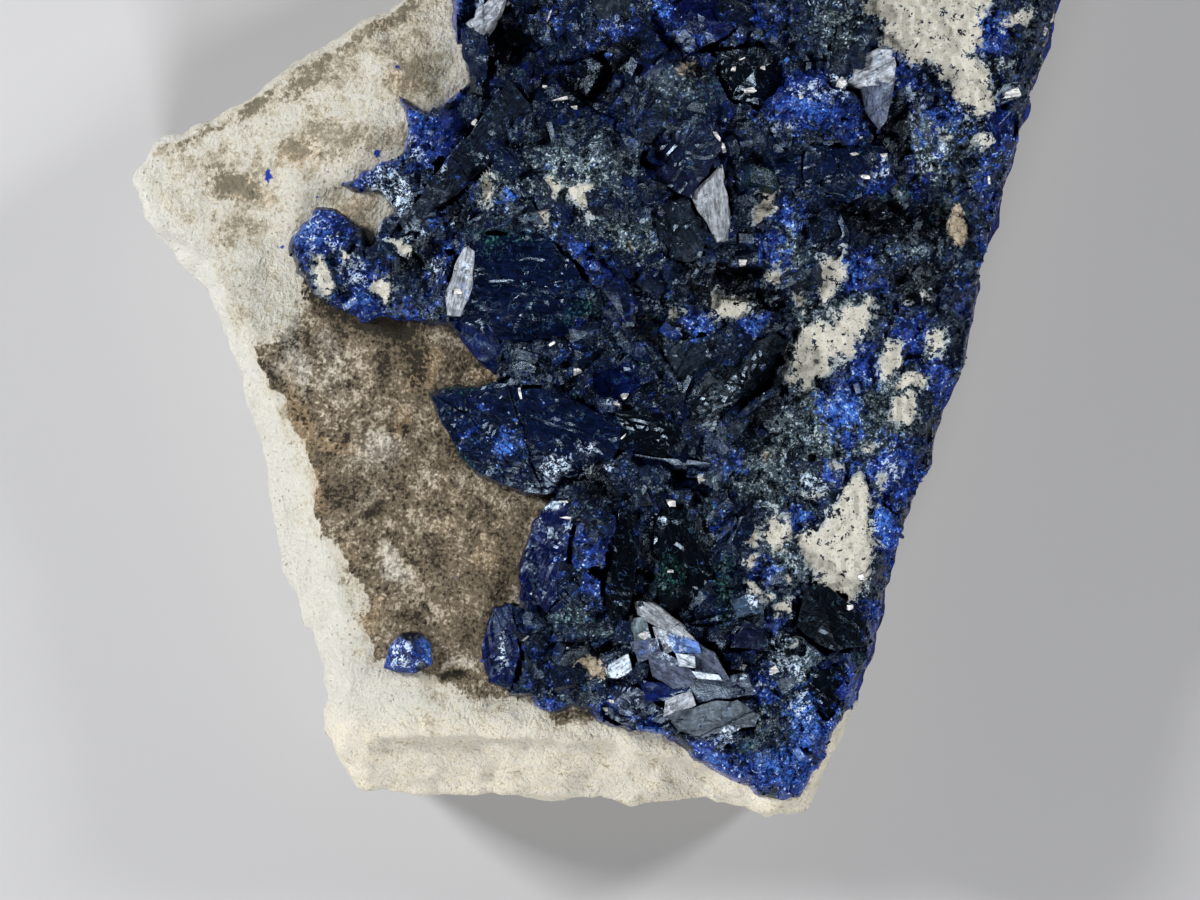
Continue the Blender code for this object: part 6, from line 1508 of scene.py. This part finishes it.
NODULE = [(38.4, 66.8, 0.5), (39.0, 64.7, 1.0), (40.2, 63.3, 1.2), (41.7, 63.2, 1.3),
          (43.0, 64.4, 1.0), (43.2, 66.4, 0.8), (41.6, 67.3, 0.5), (39.8, 67.2, 0.4),
          (41.1, 64.7, 2.7), (40.3, 66.0, 2.4), (42.2, 65.4, 2.2)]


def make_nodule(material):
    """The single nodule that sits apart on the rock: a low dome of blue crystals."""
    shape = large_crystal(NODULE, 1)
    make_finer(shape, (0.6, 0.35))
    mesh, _ = join([shape], "nodule")
    points = coordinates(mesh)
    push = np.stack([ripple(points / MM, 0.45, seed) for seed in (61, 62, 63)], -1)
    set_coordinates(mesh, points + 0.09 * MM * push)
    places = sheet_of(points)
    paint(mesh, "blue", np.full(len(points), 0.95))
    paint(mesh, "azure", spots(places, [(42.7, 65.0, 0.7, 2.0, 10, 1.0)]))
    # Painted highlight: white glitter on the nodule's left facet and a small spot to its right.
    paint(mesh, "painted_glitter", spots(places, [(40.2, 65.4, 1.1, 1.7, -20, 1.0), (41.9, 66.3, 0.5, 0.5, 0, 0.8)]))
    # Darker patches at the nodule's top and lower right.
    paint(mesh, "shadow_and_dark", spots(places, [(41.0, 63.3, 1.0, 0.6, 0, 0.8), (42.4, 66.8, 0.6, 0.5, 0, 0.7)]))
    return place_piece("nodule", mesh, material, ("azurite_nodule",), smooth=False)


# --------------------------------------------------------------------- the floor, light, camera


def make_floor():
    shape = bmesh.new()
    bmesh.ops.create_grid(shape, x_segments=1, y_segments=1, size=3.0)
    floor = in_scene("floor", mesh_of(shape, "floor"))
    f = Finish("pale_floor")
    floor.data.materials.append(f.set(Base_Color=(0.42, 0.42, 0.43), Roughness=0.8))


# Each softbox: its place, its width and height, all in millimetres, and its power.
SOFTBOXES = {
    "key_softbox": ((-480.0, 190.0, 330.0), (120.0, 120.0), 4.8),
    "side_softbox": ((430.0, 190.0, 290.0), (80.0, 150.0), 1.95),
    "front_softbox": ((-60.0, -480.0, 300.0), (190.0, 80.0), 2.6),
}
LIT_PLACE = (0.0, 0.0, 20.0)                 # what the softboxes are turned to


def make_lights():
    for name, (place, (width, height), power) in SOFTBOXES.items():
        lamp = bpy.data.lights.new(name, "AREA")
        lamp.shape, lamp.size, lamp.size_y = "RECTANGLE", width * MM, height * MM
        lamp.energy = power
        made = in_scene(name, lamp)
        made.location = Vector(place) * MM
        way = Vector(LIT_PLACE) * MM - made.location
        made.rotation_euler = way.to_track_quat("-Z", "Y").to_euler()


VIEW_MIDDLE = (60.0, 45.0)                   # the sheet's place in the middle of the view
VIEW_DISTANCE = 600.0
VIEW_WIDTH = 120.0
SENSOR = 36.0


def make_camera():
    camera = bpy.data.cameras.new("camera")
    camera.sensor_width = SENSOR
    camera.lens = SENSOR * VIEW_DISTANCE / VIEW_WIDTH
    camera.clip_start, camera.clip_end = 0.01, 10.0
    made = in_scene("camera", camera)
    made.location = plan(*VIEW_MIDDLE, FACE + VIEW_DISTANCE)
    bpy.context.scene.camera = made


def make_world():
    world = bpy.data.worlds.new("studio")
    world.use_nodes = True
    world.node_tree.nodes["Background"].inputs["Color"].default_value = (0.75, 0.8, 0.9, 1.0)
    world.node_tree.nodes["Background"].inputs["Strength"].default_value = 0.06
    bpy.context.scene.world = world
    bpy.context.scene.view_settings.view_transform = "Standard"


# --------------------------------------------------------------------------------- the whole


def main():
    rock = make_rock()
    crystals = large_crystals()
    crust = Crust(tree_of(shape_of(rock.data)), tree_of(shape_of(crystals)))
    azurite = azurite_finish()
    make_crust(crust, azurite)
    paint_zones(crystals, crust, 1.0, False)
    place_piece("azurite_crystals", crystals, azurite, smooth=False)
    small_crystals(crust, azurite)
    druse(crust, azurite)
    glints(crust, azurite)
    make_nodule(azurite)
    make_floor()
    make_lights()
    make_world()
    make_camera()


main()
